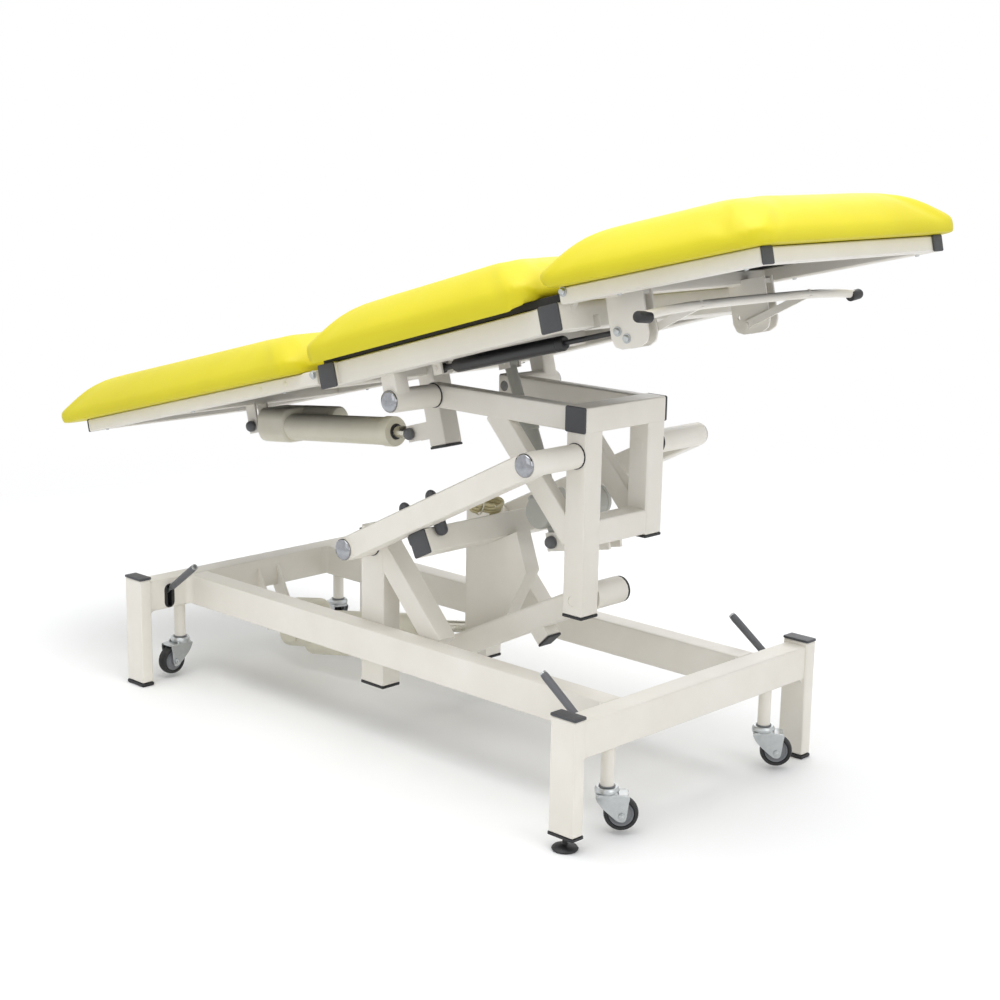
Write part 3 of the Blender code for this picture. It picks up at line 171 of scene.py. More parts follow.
def feed(tree, shader, name, output):
    """Links a node's output to a shader's named input."""
    tree.links.new(output, shader.inputs[name])


def powder_coated(name, dark, pale):
    """Powder coat: tone drifts over 160 mm, gloss over 30 mm; 1 mm orange peel, drawn at 4 mm to show."""
    made, tree, shader, where = material(name)
    drift = put(tree, "TexNoise", {"Vector": where, "Scale": 6.0, "Detail": 4.0, "Roughness": 0.6})
    tone = put(tree, "ValToRGB", {"Fac": drift.outputs["Fac"]})
    tone.color_ramp.elements[0].position = 0.3
    tone.color_ramp.elements[0].color = linear(dark)
    tone.color_ramp.elements[1].position = 0.7
    tone.color_ramp.elements[1].color = linear(pale)
    feed(tree, shader, "Base Color", tone.outputs["Color"])
    gloss = put(tree, "TexNoise", {"Vector": where, "Scale": 33.0, "Detail": 3.0})
    rough = put(tree, "MapRange", {"Value": gloss.outputs["Fac"], "To Min": 0.30, "To Max": 0.46})
    feed(tree, shader, "Roughness", rough.outputs["Result"])
    peel = put(tree, "TexNoise", {"Vector": where, "Scale": 250.0, "Detail": 2.0})
    ripple = put(tree, "Bump", {"Height": peel.outputs["Fac"], "Strength": 0.10, "Distance": 0.0006})
    feed(tree, shader, "Normal", ripple.outputs["Normal"])
    return made


POWDER_COAT = powder_coated("powder coat warm white", "#E0DBD0", "#E8E4DB")

# Edges that turn less than a tube's bend are shaded as one surface, so bevels catch light as bends do.
BEND_LIMIT = radians(50)
WELD_REACH = 0.00002
rounding = bpy.data.node_groups.new("rounded bends", "GeometryNodeTree")
rounding.interface.new_socket("Geometry", in_out="INPUT", socket_type="NodeSocketGeometry")
rounding.interface.new_socket("Geometry", in_out="OUTPUT", socket_type="NodeSocketGeometry")
solid_in = put(rounding, "Input", family="NodeGroup")
weld = put(rounding, "MergeByDistance", {"Geometry": solid_in.outputs[0], "Distance": WELD_REACH},
           "GeometryNode")
faces_smooth = put(rounding, "SetShadeSmooth", {"Geometry": weld.outputs["Geometry"]}, "GeometryNode")
bend = put(rounding, "InputMeshEdgeAngle", family="GeometryNode")
shallow = put(rounding, "Compare", {"A": bend.outputs["Unsigned Angle"], "B": BEND_LIMIT}, "FunctionNode",
              operation="LESS_THAN")
edges_smooth = put(rounding, "SetShadeSmooth", {"Geometry": faces_smooth.outputs["Geometry"],
                                                "Shade Smooth": shallow.outputs["Result"]},
                   "GeometryNode", domain="EDGE")
put(rounding, "Output", {0: edges_smooth.outputs["Geometry"]}, "NodeGroup")


def finished(finish, *names):
    """Gives CAD nodes their finish, with bends shaded round and flats kept flat by face area."""
    for name in names:
        solid = frame["nodes"][name]
        solid.data.materials.clear()
        solid.data.materials.append(finish)
        bends = solid.modifiers.new("rounded bends", "NODES")
        bends.node_group = rounding
        flats = solid.modifiers.new("flat faces", "WEIGHTED_NORMAL")
        flats.keep_sharp = True


finished(POWDER_COAT, "end_frame_foot", "end_frame_head", "long_rail_near", "long_rail_far", "mast_near",
         "mast_far", "arm_near", "arm_far", "arm_cross_tube", "lift_lever", "lower_link", "tower_frame",
         "seat_frame", "leg_frame", "back_frame", "release_bar")


# Plugs on the leg tops: flat lids moulded in dark grey polyethylene, pressed into the tube with a rim that
# stands a millimetre proud. The moulding is matt, with a fine spark-eroded grain.
def rounded_rectangle(wide, high, radius, around=32):
    """Ring of points: a quarter circle of the radius at each corner of a wide by high rectangle."""
    quarter = np.linspace(0.0, pi / 2, around // 4)
    turns = np.concatenate([quarter + k * pi / 2 for k in range(4)])
    x = np.repeat([1.0, -1.0, -1.0, 1.0], around // 4) * (wide / 2 - radius)
    y = np.repeat([1.0, 1.0, -1.0, -1.0], around // 4) * (high / 2 - radius)
    return np.stack([x + radius * np.cos(turns), y + radius * np.sin(turns)], 1)


def layered(layers):
    """Rings from flat outlines: each (outline, z) keeps its x and y and takes that z."""
    return np.array([np.column_stack([outline, np.full(len(outline), z)]) for outline, z in layers])


def lid(wide, high, thick, corner=0.004, edge=0.0015):
    """Rings of a plate: full outline up to the edge, then in by edge * (1 - cos) and up by edge * sin."""
    phi = np.linspace(0.0, pi / 2, 5)
    inset = np.concatenate([[0.0], edge * (1 - np.cos(phi)), [wide * 0.25]])
    inset = np.minimum(inset, 0.45 * min(wide, high))
    up = np.concatenate([[0.0], thick - edge + edge * np.sin(phi), [thick]])
    return layered((rounded_rectangle(wide - 2 * d, high - 2 * d, max(corner - d, 0.0004)), z)
                   for d, z in zip(inset, up))


def turned(profile, around=40):
    """Rings of a lathe form: each (radius, along) point carried round the axis as radius * (cos, sin)."""
    turns = np.linspace(0.0, 2 * pi, around, endpoint=False)
    radius, along = np.array(profile, float).T
    return np.stack([radius[:, None] * np.cos(turns), radius[:, None] * np.sin(turns),
                     along[:, None] + 0 * turns], -1)


X, Y, Z = np.eye(3)     # unit vectors of the shared frame


def put_at(rings, at, out, across):
    """Carries rings so that their z runs along out, their x along across, from the point at."""
    out = np.array(out, float) / np.linalg.norm(out)
    across = np.array(across, float) / np.linalg.norm(across)
    return np.array(at, float) + rings @ np.array([across, np.cross(out, across), out])


def piece(name, forms, finish, body, looped=False, crease=40):
    """One object from closed lofts: neighbouring rings joined by quads, ends closed, or joined if looped."""
    points, faces, base = [], [], 0
    for rings in forms:
        count, around = rings.shape[:2]
        i, j = np.meshgrid(np.arange(count if looped else count - 1), np.arange(around), indexing="ij")
        k, n = (i + 1) % count, (j + 1) % around
        quads = np.stack([i * around + j, i * around + n, k * around + n, k * around + j], -1)
        faces += (quads.reshape(-1, 4) + base).tolist()
        if not looped:
            faces.append((base + np.arange(around)[::-1]).tolist())
            faces.append((base + (count - 1) * around + np.arange(around)).tolist())
        points.append(rings.reshape(-1, 3))
        base += count * around
    mesh = bpy.data.meshes.new(name)
    mesh.from_pydata(np.concatenate(points).tolist(), [], faces)
    skin = bmesh.new()
    skin.from_mesh(mesh)
    bmesh.ops.recalc_face_normals(skin, faces=skin.faces)
    skin.to_mesh(mesh)
    skin.free()
    mesh.shade_smooth()
    mesh.set_sharp_from_angle(angle=radians(crease))
    mesh.materials.append(finish)
    obj = bpy.data.objects.new(name, mesh)
    scene.collection.objects.link(obj)
    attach(obj, body)
    return obj


def grained(name, dark, pale, low, high, grain=0.0012):
    """Plastic, paint or enamel: tone drifts over 40 mm, gloss over 6 mm; its fine grain, drawn to show."""
    made, tree, shader, where = material(name)
    drift = put(tree, "TexNoise", {"Vector": where, "Scale": 25.0, "Detail": 4.0})
    tone = put(tree, "ValToRGB", {"Fac": drift.outputs["Fac"]})
    tone.color_ramp.elements[0].color = linear(dark)
    tone.color_ramp.elements[1].color = linear(pale)
    feed(tree, shader, "Base Color", tone.outputs["Color"])
    gloss = put(tree, "TexNoise", {"Vector": where, "Scale": 160.0, "Detail": 2.0})
    rough = put(tree, "MapRange", {"Value": gloss.outputs["Fac"], "To Min": low, "To Max": high})
    feed(tree, shader, "Roughness", rough.outputs["Result"])
    pits = put(tree, "TexNoise", {"Vector": where, "Scale": 1.0 / grain, "Detail": 3.0})
    relief = put(tree, "Bump", {"Height": pits.outputs["Fac"], "Strength": 0.18, "Distance": 0.0004})
    feed(tree, shader, "Normal", relief.outputs["Normal"])
    return made


GREY_PLASTIC = grained("moulded polyethylene dark grey", "#3B3C3F", "#47484B", 0.42, 0.58)
BLACK_PLASTIC = grained("moulded polyethylene black", "#19191B", "#242426", 0.42, 0.60)
LEG_X = 0.655
LEG_Y = 0.355
LEG_TOP = 0.250
SHIFT = 0.029           # middle of the base to the middle of the outline
PLUG_LONG = 0.062
PLUG_WIDE = 0.032
PLUG_THICK = 0.0045
leg_plugs = [put_at(lid(PLUG_LONG, PLUG_WIDE, PLUG_THICK), (sx * LEG_X + SHIFT, sy * LEG_Y, LEG_TOP), Z, X)
             for sx in (-1, 1) for sy in (-1, 1)]
piece("leg_top_plugs", leg_plugs, GREY_PLASTIC, "base")


# Weld fillets of the base: the seams between legs, end rails and long rails are welded full and dressed
# hollow before coating, so each inner corner runs round instead of meeting sharp.
def fillet(radius, length, bury=0.0006):
    """Rings of a hollow corner strip: two walls of the corner and the arc radius * (1 - sin, 1 - cos)."""
    phi = np.linspace(0.0, pi / 2, 9)
    ring = np.concatenate([[(-bury, -bury), (radius, -bury)],
                           radius * (1 - np.stack([np.sin(phi), np.cos(phi)], 1)), [(-bury, radius)]])
    return layered(((ring, 0.0), (ring, length)))


RAIL_HALF = 0.025
RAIL_LOW_Z = 0.172
RAIL_TOP_Z = 0.242
LONG_RAIL_Y = (0.181, 0.231)
LEG_INNER = 0.340
LEG_FILLET = 0.013
RAIL_FILLET = 0.016
SEAM_END = 0.003        # left bare at both ends of a seam
fillets = []
for sx in (-1, 1):
    inner_x = sx * (LEG_X - RAIL_HALF) + SHIFT
    for sy in (-1, 1):
        start_x = sx * LEG_X + SHIFT - sy * (RAIL_HALF - SEAM_END)
        fillets.append(put_at(fillet(LEG_FILLET, 2 * (RAIL_HALF - SEAM_END)),
                              (start_x, sy * LEG_INNER, RAIL_LOW_Z), sy * X, -sy * Y))
        for wall, out in ((LONG_RAIL_Y[1], sy), (LONG_RAIL_Y[0], -sy)):
            rise = sx * out
            start_z = RAIL_LOW_Z + SEAM_END if rise < 0 else RAIL_TOP_Z - SEAM_END
            fillets.append(put_at(fillet(RAIL_FILLET, RAIL_TOP_Z - RAIL_LOW_Z - 2 * SEAM_END),
                                  (inner_x, sy * wall, start_z), -rise * Z, -sx * X))
piece("weld_fillets", fillets, POWDER_COAT, "base", crease=30)

# Painted shade in the lever slots: black sheets in the end rails' oblong holes, which the castor levers swing
# in.
# Each has a flat rim on the rail's face and a sleeve that reaches past the lever's pivot, darkening the slot
# inside.
LEVER_Y = 0.288
SLOT_Z = 0.2015
RIM_BURY = 0.0004
RIM_RISE = 0.0012
SLEEVE_DEEP = 0.034
rim_out = rounded_rectangle(0.0270, 0.0560, 0.0132)
rim_in = rounded_rectangle(0.0114, 0.0494, 0.0010)
# black rim and sleeve: painted shade of the slot, on its face and down its inside
slot_shade_sheet = layered(((rim_out, -RIM_BURY), (rim_out, RIM_RISE - RIM_BURY), (rim_out * 0.97, RIM_RISE),
                 (rim_in, RIM_RISE), (rim_in, -SLEEVE_DEEP), (rim_in * 1.03, -SLEEVE_DEEP)))
slot_shade_sheets = [put_at(slot_shade_sheet, (sx * (LEG_X - RAIL_HALF) + SHIFT, sy * LEVER_Y, SLOT_Z), -sx * X, Y)
          for sx in (-1, 1) for sy in (-1, 1)]
piece("lever_slot_painted_shade", slot_shade_sheets, BLACK_PLASTIC, "base", looped=True)

# Feet: black plastic shoes under three legs, a black screw foot under the fourth, and black plugs in the open
# lower ends of the masts and of the shorter leg.
finished(BLACK_PLASTIC, "foot_cap_foot_near", "foot_cap_foot_far", "foot_cap_head_far", "levelling_foot")
MAST_X = -0.058
MAST_Y = 0.1557
MAST_LOW = 0.103
MAST_PLUG = lid(0.071, 0.051, 0.005)
SHORT_LEG_LOW = 0.030
mast_plugs = [put_at(MAST_PLUG, (MAST_X + SHIFT, sy * MAST_Y, MAST_LOW), -Z, X) for sy in (-1, 1)]
piece("mast_plugs", mast_plugs, BLACK_PLASTIC, "base")
SCREW_R = 0.0058
outer = rounded_rectangle(PLUG_LONG, PLUG_WIDE, 0.004)
spin = np.arctan2(outer[:, 1], outer[:, 0])
bore = SCREW_R * np.stack([np.cos(spin), np.sin(spin)], 1)
holed = layered(((outer, 0.0), (outer, PLUG_THICK), (bore, PLUG_THICK), (bore, 0.0)))
piece("short_leg_plug", [put_at(holed, (LEG_X + SHIFT, -LEG_Y, SHORT_LEG_LOW), -Z, X)],
      BLACK_PLASTIC, "base", looped=True)


# Castors: pressed zinc-plated forks with a raised ball-race ring, black rubber tyres on grey hubs, and hand
# levers with dipped grips. The zinc is passivated, so its shine is broken by a cloudy bluish bloom.
def plated(name, dark, pale, low, high):
    """Zinc plate or ground steel: metal whose tone and gloss cloud over 12 mm, with 2 mm handling marks."""
    made, tree, shader, where = material(name)
    shader.inputs["Metallic"].default_value = 1.0
    bloom = put(tree, "TexNoise", {"Vector": where, "Scale": 85.0, "Detail": 5.0, "Roughness": 0.65})
    tone = put(tree, "ValToRGB", {"Fac": bloom.outputs["Fac"]})
    tone.color_ramp.elements[0].color = linear(dark)
    tone.color_ramp.elements[1].color = linear(pale)
    feed(tree, shader, "Base Color", tone.outputs["Color"])
    rough = put(tree, "MapRange", {"Value": bloom.outputs["Fac"], "To Min": low, "To Max": high})
    feed(tree, shader, "Roughness", rough.outputs["Result"])
    marks = put(tree, "TexNoise", {"Vector": where, "Scale": 480.0, "Detail": 2.0})
    relief = put(tree, "Bump", {"Height": marks.outputs["Fac"], "Strength": 0.08, "Distance": 0.0003})
    feed(tree, shader, "Normal", relief.outputs["Normal"])
    return made


ZINC = plated("zinc plated steel", "#A9ADAF", "#CDD0D0", 0.26, 0.44)
TYRE_RUBBER = grained("vulcanised rubber black", "#1E1E1F", "#2A2A2B", 0.55, 0.75, 0.002)
HUB_GREY = grained("moulded nylon grey", "#6E7073", "#7E8083", 0.38, 0.5)
STEM_AT = {"foot_near": (-1, -1), "foot_far": (-1, 1), "head_near": (1, -1), "head_far": (1, 1)}
STEM_Y = 0.243
LEVER_AXIS_Z = 0.198
LEVER_REACH = (0.125, 0.090)
LEVER_LENGTH = np.hypot(*LEVER_REACH)
GRIP_LENGTH = 0.112
GRIP_PAST = 0.001       # the grip's end beyond the lever's
WHEEL_R = 0.0325
WHEEL_HALF = 0.012
TREAD_CROWN = 0.004
TOUCH = 0.0002          # left between two pieces that touch
joint_at = {joint["name"]: np.array(joint["pos_m"]) for joint in frame["joints"] if "pos_m" in joint}
joint_axis = {joint["name"]: np.array(joint["axis"]) for joint in frame["joints"]}
arc = np.linspace(-pi / 2, pi / 2, 9)
tread = [(WHEEL_R - TREAD_CROWN * (1 - cos(t)), 0.98 * WHEEL_HALF * sin(t)) for t in arc]
tyre_profile = [(0.0235, -0.0085), (0.0250, -0.0112), *tread, (0.0250, 0.0112), (0.0235, 0.0085)]
hub_profile = [(0.0044, -0.0118), (0.0085, -0.0118), (0.0095, -0.0100), (0.0185, -0.0078), (0.0205, -0.0092),
               (0.0232, -0.0092), (0.0236, -0.0070), (0.0236, 0.0070), (0.0232, 0.0092), (0.0205, 0.0092),
               (0.0185, 0.0078), (0.0095, 0.0100), (0.0085, 0.0118), (0.0044, 0.0118)]
TRAIL = 0.027
CHEEK_IN = 0.0172
CHEEK_OUT = 0.0192
CROWN_LONG = 0.0605
CROWN_THICK = 0.0042
CROWN_FORE = 0.0093     # middle of the fork's crown, ahead of the stem
CROWN_Z = 0.0752
crown = lid(CROWN_LONG, 2 * (CHEEK_OUT - TOUCH), CROWN_THICK, 0.008, 0.0012)
# a fork's cheek seen from its side; two rounds of cutting each side a quarter in from both ends round it off
cheek = np.array([(-0.0215, 0.0792), (-0.0215, 0.0715), (-0.0120, 0.0560), (0.0140, 0.0330), (0.0230, 0.0268),
                  (0.0345, 0.0275), (0.0375, 0.0420), (0.0395, 0.0640), (0.0420, 0.0740), (0.0400, 0.0792)])
for step in range(2):
    onward = np.roll(cheek, -1, 0)
    cheek = np.stack([0.75 * cheek + 0.25 * onward, 0.25 * cheek + 0.75 * onward], 1).reshape(-1, 2)
waist = cheek.mean(0)
race_profile = [(0.0150, 0.0905), (0.0195, 0.0912), (0.0222, 0.0885), (0.0230, 0.0845), (0.0222, 0.0805),
                (0.0203, 0.0785), (0.0201, 0.0880)]
collar_profile = [(0.0132, 0.0917), (0.0156, 0.0917), (0.0158, 0.0926), (0.0148, 0.0936), (0.0132, 0.0938)]
nut_profile = [(0.0002, 0.0), (0.0068, 0.0), (0.0068, 0.0036), (0.0060, 0.0046), (0.0040, 0.0047),
               (0.0040, 0.0066), (0.0030, 0.0074), (0.0002, 0.0076)]
grip_profile = [(0.0050, 0.0), (0.0066, 0.0008), (0.0072, 0.0030), (0.0075, 0.0300),
                (0.0078, GRIP_LENGTH - 0.0120), (0.0073, GRIP_LENGTH - 0.0060),
                (0.0060, GRIP_LENGTH - 0.0022), (0.0034, GRIP_LENGTH - 0.0004), (0.0003, GRIP_LENGTH)]
GRIP_PVC = grained("dipped PVC grey", "#5A5B5E", "#66676A", 0.45, 0.60)
for label, (sx, sy) in STEM_AT.items():
    castor = "castor_" + label
    stem = np.array([sx * LEG_X + SHIFT, sy * STEM_Y, 0.0])
    finished(POWDER_COAT, castor + "_stem")
    finished(ZINC, castor + "_fork", castor + "_lever")
    piece(castor + "_race", [put_at(turned(race_profile), stem, Z, X)], ZINC, castor + "_fork",
          looped=True)
    piece(castor + "_dust_collar", [put_at(turned(collar_profile), stem, Z, X)], HUB_GREY, castor + "_stem",
          looped=True)
    axle = joint_axis[castor + "_roll"]
    middle = joint_at[castor + "_roll"]
    tyre = piece(castor + "_tyre", [put_at(turned(tyre_profile, 64), middle, axle, Z)], TYRE_RUBBER,
                 castor + "_wheel", looped=True)
    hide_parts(castor + "_wheel")
    piece(castor + "_hub", [put_at(turned(hub_profile, 48), middle, axle, Z)], HUB_GREY,
          castor + "_wheel", looped=True)
    trail = np.array([middle[0] - stem[0], middle[1] - stem[1], 0.0]) / TRAIL
    square = np.cross(Z, trail)
    pressing = []
    for side in (-1, 1):
        rings = layered(((cheek - waist) * k + waist, side * n)
                        for k, n in ((0.965, CHEEK_IN), (1.0, CHEEK_IN + 0.0005), (1.0, CHEEK_OUT - 0.0007),
                                     (0.965, CHEEK_OUT)))
        pressing.append(stem + rings @ np.array([trail, Z, square]))
    pressing.append(put_at(crown, stem + CROWN_FORE * trail + CROWN_Z * Z, Z, trail))
    piece(castor + "_fork_pressing", pressing, ZINC, castor + "_fork", crease=30)
    nuts = [put_at(turned(nut_profile, 6 if side < 0 else 24), middle + side * (CHEEK_OUT + TOUCH) * axle,
                   side * axle, Z) for side in (-1, 1)]
    piece(castor + "_axle_nuts", nuts, ZINC, castor + "_fork", crease=25)
    pivot = np.array([sx * LEG_X + SHIFT, sy * LEVER_Y, LEVER_AXIS_Z])
    aim = np.array([-sx * LEVER_REACH[0], 0.0, LEVER_REACH[1]]) / LEVER_LENGTH
    grip_start = pivot + aim * (LEVER_LENGTH - GRIP_LENGTH + GRIP_PAST)
    grip = put_at(turned(grip_profile, 28), grip_start, aim, Y)
    piece(castor + "_grip", [grip], GRIP_PVC, castor + "_lever")


# Lift: two arms on stub pins with domed heads, turned from steel and chromed, and a black washer behind each
# hub. Chrome is a near mirror, darkened by a painted grey reflection; faint rub marks dull it.
def chromed(name, painted_reflection_tint):
    """Chrome plate: near mirror, with 8 mm rub marks in its gloss; its dark tint is a painted reflection."""
    made, tree, shader, where = material(name)
    shader.inputs["Metallic"].default_value = 1.0
    rub = put(tree, "TexNoise", {"Vector": where, "Scale": 120.0, "Detail": 4.0})
    tone = put(tree, "ValToRGB", {"Fac": rub.outputs["Fac"]})
    tone.color_ramp.elements[0].color = linear(painted_reflection_tint)
    tone.color_ramp.elements[1].color = linear("#AFB1B5")
    feed(tree, shader, "Base Color", tone.outputs["Color"])
    rough = put(tree, "MapRange", {"Value": rub.outputs["Fac"], "To Min": 0.06, "To Max": 0.18})
    feed(tree, shader, "Roughness", rough.outputs["Result"])
    return made


def on_section(points, joint, rise):
    """From a section's own x, y, z: turned so that +X rises by rise degrees, then set on the joint's axis."""
    c, s = cos(radians(rise)), sin(radians(rise))
    return points @ np.array([[c, 0.0, s], [0.0, 1.0, 0.0], [-s, 0.0, c]]) + joint_at[joint]


def all_on(forms, joint, rise=0.0):
    """A list of forms, each set on a section in that way."""
    return [on_section(form, joint, rise) for form in forms]


def pair(rings, x, y, z, lean=0.0):
    """A form on both long sides, at -y and at y, with its z outwards and leaning up by lean."""
    return [put_at(rings, (x, side * y, z), (0, side, lean), X) for side in (-1, 1)]


# the dark grey tint is a painted reflection: it darkens the whole chrome as grey surroundings would
CHROME = chromed("chrome plated steel", "#85878C")
PIN_R = 0.011
DOME_R = 0.0225
DOME_RISE = 0.0105
DOME_RIM = 0.0025
WASHER_R = 0.0253
WASHER_BORE = 0.0120
WASHER_THICK = 0.0020
# name, joint, body, inner end of the pin, back of its head, face that its washer lies on
STUB_PINS = (("arm_pin_lower", "lift", "base", 0.1507, 0.2580, 0.1807),
             ("arm_pin_upper", "tower_level", "tower", 0.0730, 0.2580, 0.1180),
             ("tilt_pin", "tilt", "tower", 0.0880, 0.2388, 0.1180))
swell = np.linspace(0.0, pi / 2, 10)[:-1]
for name, joint, body, start, end, face in STUB_PINS:
    at = joint_at[joint]
    for label, side in (("near", -1), ("far", 1)):
        dome = [(DOME_R * cos(t), end + DOME_RIM + (DOME_RISE - DOME_RIM) * sin(t)) for t in swell]
        profile = [(0.0004, start), (PIN_R, start), (PIN_R, end), (DOME_R - 0.0008, end),
                   (DOME_R, end + 0.0008), *dome, (0.0004, end + DOME_RISE)]
        pin = piece(name + "_head_" + label, [put_at(turned(profile, 48), at, side * Y, X)], CHROME, body,
                    crease=35)
        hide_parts(name + "_" + label)
        low, top = face + TOUCH, face + TOUCH + WASHER_THICK
        ring = [(WASHER_BORE, low), (WASHER_R, low), (WASHER_R, top), (WASHER_BORE, top)]
        piece(name + "_washer_" + label, [put_at(turned(ring), at, side * Y, X)], BLACK_PLASTIC, body,
              looped=True)
finished(ZINC, "link_shaft_base")
finished(POWDER_COAT, "link_pin_tower")
LINK_DROP = 0.285
LINK_END = 0.0203
cover = [(0.0110, LINK_END), (0.0258, LINK_END), (0.0264, LINK_END + 0.0010), (0.0264, LINK_END + 0.0060),
         (0.0240, LINK_END + 0.0085), (0.0110, LINK_END + 0.0090)]
covers = [put_at(turned(cover), -LINK_DROP * Z, Y, X)]
piece("link_pin_cover", all_on(covers, "tower_level"), BLACK_PLASTIC, "tower", looped=True)
POST_INNER = 0.068
stopper = [(0.0004, 0.0), (0.0118, 0.0), (0.0122, -0.0006), (0.0118, -0.0012), (0.0004, -0.0014)]
stoppers = all_on(pair(turned(stopper), 0.0, POST_INNER, 0.0), "tower_level")
piece("post_bore_stoppers", stoppers, POWDER_COAT, "tower")

# Cross tube of the arms: grey plugs in both ends. Beside it, two grey hand pegs stand on the near arm's inner
# side, turned with a slight taper and rounded ends.
ARM_RISE = 26.4
CROSS_X = 0.203
CROSS_Z = -0.0503
CROSS_END = 0.235
TUBE = 0.050
CAP_THICK = 0.0035
cross_plugs = pair(lid(TUBE, TUBE, CAP_THICK), CROSS_X, CROSS_END, CROSS_Z)
piece("cross_tube_plugs", all_on(cross_plugs, "lift", ARM_RISE), GREY_PLASTIC, "arms")
PEG_AT = (("a", 0.156), ("b", 0.241))
PEG_Y = -0.2037
PEG_LOW = -0.049
PEG_TOP = 0.0462
FOOT_R, WAIST_R, HEAD_R = 0.0126, 0.0132, 0.0124
FOOT_ROUND, HEAD_ROUND = 0.011, 0.016
bulge = np.linspace(0.0, pi / 2, 7)
peg_profile = [*((max(FOOT_R * sin(t), 0.0004), PEG_LOW + FOOT_ROUND * (1 - cos(t))) for t in bulge),
               (WAIST_R, 0.0),
               *((max(HEAD_R * cos(t), 0.0004), PEG_TOP - HEAD_ROUND * (1 - sin(t))) for t in bulge)]
for label, x in PEG_AT:
    form = put_at(turned(peg_profile, 36), (x, PEG_Y, 0.0), Z, X)
    peg = piece("arm_peg_" + label + "_turned", [on_section(form, "lift", ARM_RISE)], GREY_PLASTIC, "arms")
    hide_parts("arm_peg_" + label)

# Tied hank on the cross tube: the spare length of a tan PVC cable, wound in three flat loops that lean on
# the tube, and drawn together near one end by an ivory nylon tie.
CABLE_R = 0.0035
HANK_LOOPS = 3
HANK_PITCH = 0.0076
HANK_END_R = 0.018
HANK_Y = 0.042
HANK_MIDDLE = -0.025
CROSS_TOP = -0.0253
HANK_TURN = 48
HANK_LEAN = radians(52)
TIE_Y = -0.024
TIE_PINCH = 0.58
TIE_REACH = 0.013
TIE_HALF = (0.0115, 0.0162)
TIE_BLUNT = 0.6
TIE_WIDE = 0.0044
TIE_THICK = 0.05        # as a share of the tie's half widths
turn = np.linspace(0.0, 2 * pi * HANK_LOOPS, HANK_TURN * HANK_LOOPS + 1)
pinch = 1 - TIE_PINCH * np.exp(-((HANK_Y * np.sin(turn) - TIE_Y) / TIE_REACH) ** 2)
flat_x = HANK_END_R * np.cos(turn) * pinch
stacked = HANK_PITCH * (turn / (2 * pi) - HANK_LOOPS / 2)
HANK_Z = CROSS_TOP + HANK_END_R * sin(HANK_LEAN) + HANK_PITCH * HANK_LOOPS / 2 * cos(HANK_LEAN) + CABLE_R
hank_route = np.stack([CROSS_X + flat_x * cos(HANK_LEAN) + stacked * sin(HANK_LEAN),
                       HANK_MIDDLE + HANK_Y * np.sin(turn),
                       HANK_Z - flat_x * sin(HANK_LEAN) + stacked * cos(HANK_LEAN)], 1)
hank_route = on_section(hank_route, "lift", ARM_RISE)


def cable(points, radius, around=14):
    """Rings of a round cable: each point carries a circle square to the line through its neighbours."""
    along = np.gradient(points, axis=0)
    along /= np.linalg.norm(along, axis=1)[:, None]
    side = np.cross(along, (0.31, 0.17, 0.94))
    side /= np.linalg.norm(side, axis=1)[:, None]
    over = np.cross(along, side)
    turns = np.linspace(0.0, 2 * pi, around, endpoint=False)
    return (points[:, None, :] + radius * (np.cos(turns)[None, :, None] * side[:, None, :]
                                           + np.sin(turns)[None, :, None] * over[:, None, :]))


TAN_PVC = grained("extruded PVC tan", "#BFB489", "#CFC59D", 0.40, 0.52, 0.003)
IVORY_NYLON = grained("moulded nylon ivory", "#DDD9C6", "#E6E3D4", 0.35, 0.48)
hank = piece("cable_hank_loops", [cable(hank_route, CABLE_R)], TAN_PVC, "arms")
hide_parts("cable_hank")
tie_loop = np.linspace(0.0, 2 * pi, 40, endpoint=False)
tie_x = TIE_HALF[0] * np.sign(np.cos(tie_loop)) * np.abs(np.cos(tie_loop)) ** TIE_BLUNT
tie_z = TIE_HALF[1] * np.sign(np.sin(tie_loop)) * np.abs(np.sin(tie_loop)) ** TIE_BLUNT
tie_rings = np.stack([np.stack([CROSS_X + (1 + g) * (tie_x * cos(HANK_LEAN) + tie_z * sin(HANK_LEAN)),
                                HANK_MIDDLE + TIE_Y + y * TIE_WIDE / 2 + 0 * tie_x,
                                HANK_Z + (1 + g) * (tie_z * cos(HANK_LEAN) - tie_x * sin(HANK_LEAN))], 1)
                      for y, g in ((-1, 0.0), (1, 0.0), (1, TIE_THICK), (-1, TIE_THICK))], 0)
piece("hank_tie", [on_section(tie_rings, "lift", ARM_RISE)], IVORY_NYLON, "arms", looped=True)

# Lower link and tower: black plugs close the link's stub and the posts' lower ends, grey ones the two ends of
# the top bar. All are pressed in.
STUB_END = (0.402, -0.044, -0.050)
STUB_WAY = (0.014, 0.0, -0.045)
STUB_PLUG = lid(0.038, 0.040, 0.004)
stub_plug = [put_at(STUB_PLUG, STUB_END, STUB_WAY, Y)]
piece("link_stub_plug", all_on(stub_plug, "link_turn", ARM_RISE), BLACK_PLASTIC, "link")
END_PLUG = lid(TUBE + 0.001, TUBE + 0.001, 0.005)
POST_Y = 0.093
NEAR_POST_LOW = -0.314
FAR_POST_LOW = -0.180
TOP_BAR_Z = 0.070
TOP_BAR_END = 0.119
post_plugs = [put_at(END_PLUG, (0.0, y, z), -Z, X)
              for y, z in ((-POST_Y, NEAR_POST_LOW), (POST_Y, FAR_POST_LOW))]
piece("post_plugs", all_on(post_plugs, "tower_level"), BLACK_PLASTIC, "tower")
bar_plugs = pair(lid(TUBE + 0.001, TUBE, CAP_THICK), 0.0, TOP_BAR_END, TOP_BAR_Z)
piece("top_bar_plugs", all_on(bar_plugs, "tower_level"), GREY_PLASTIC, "tower")


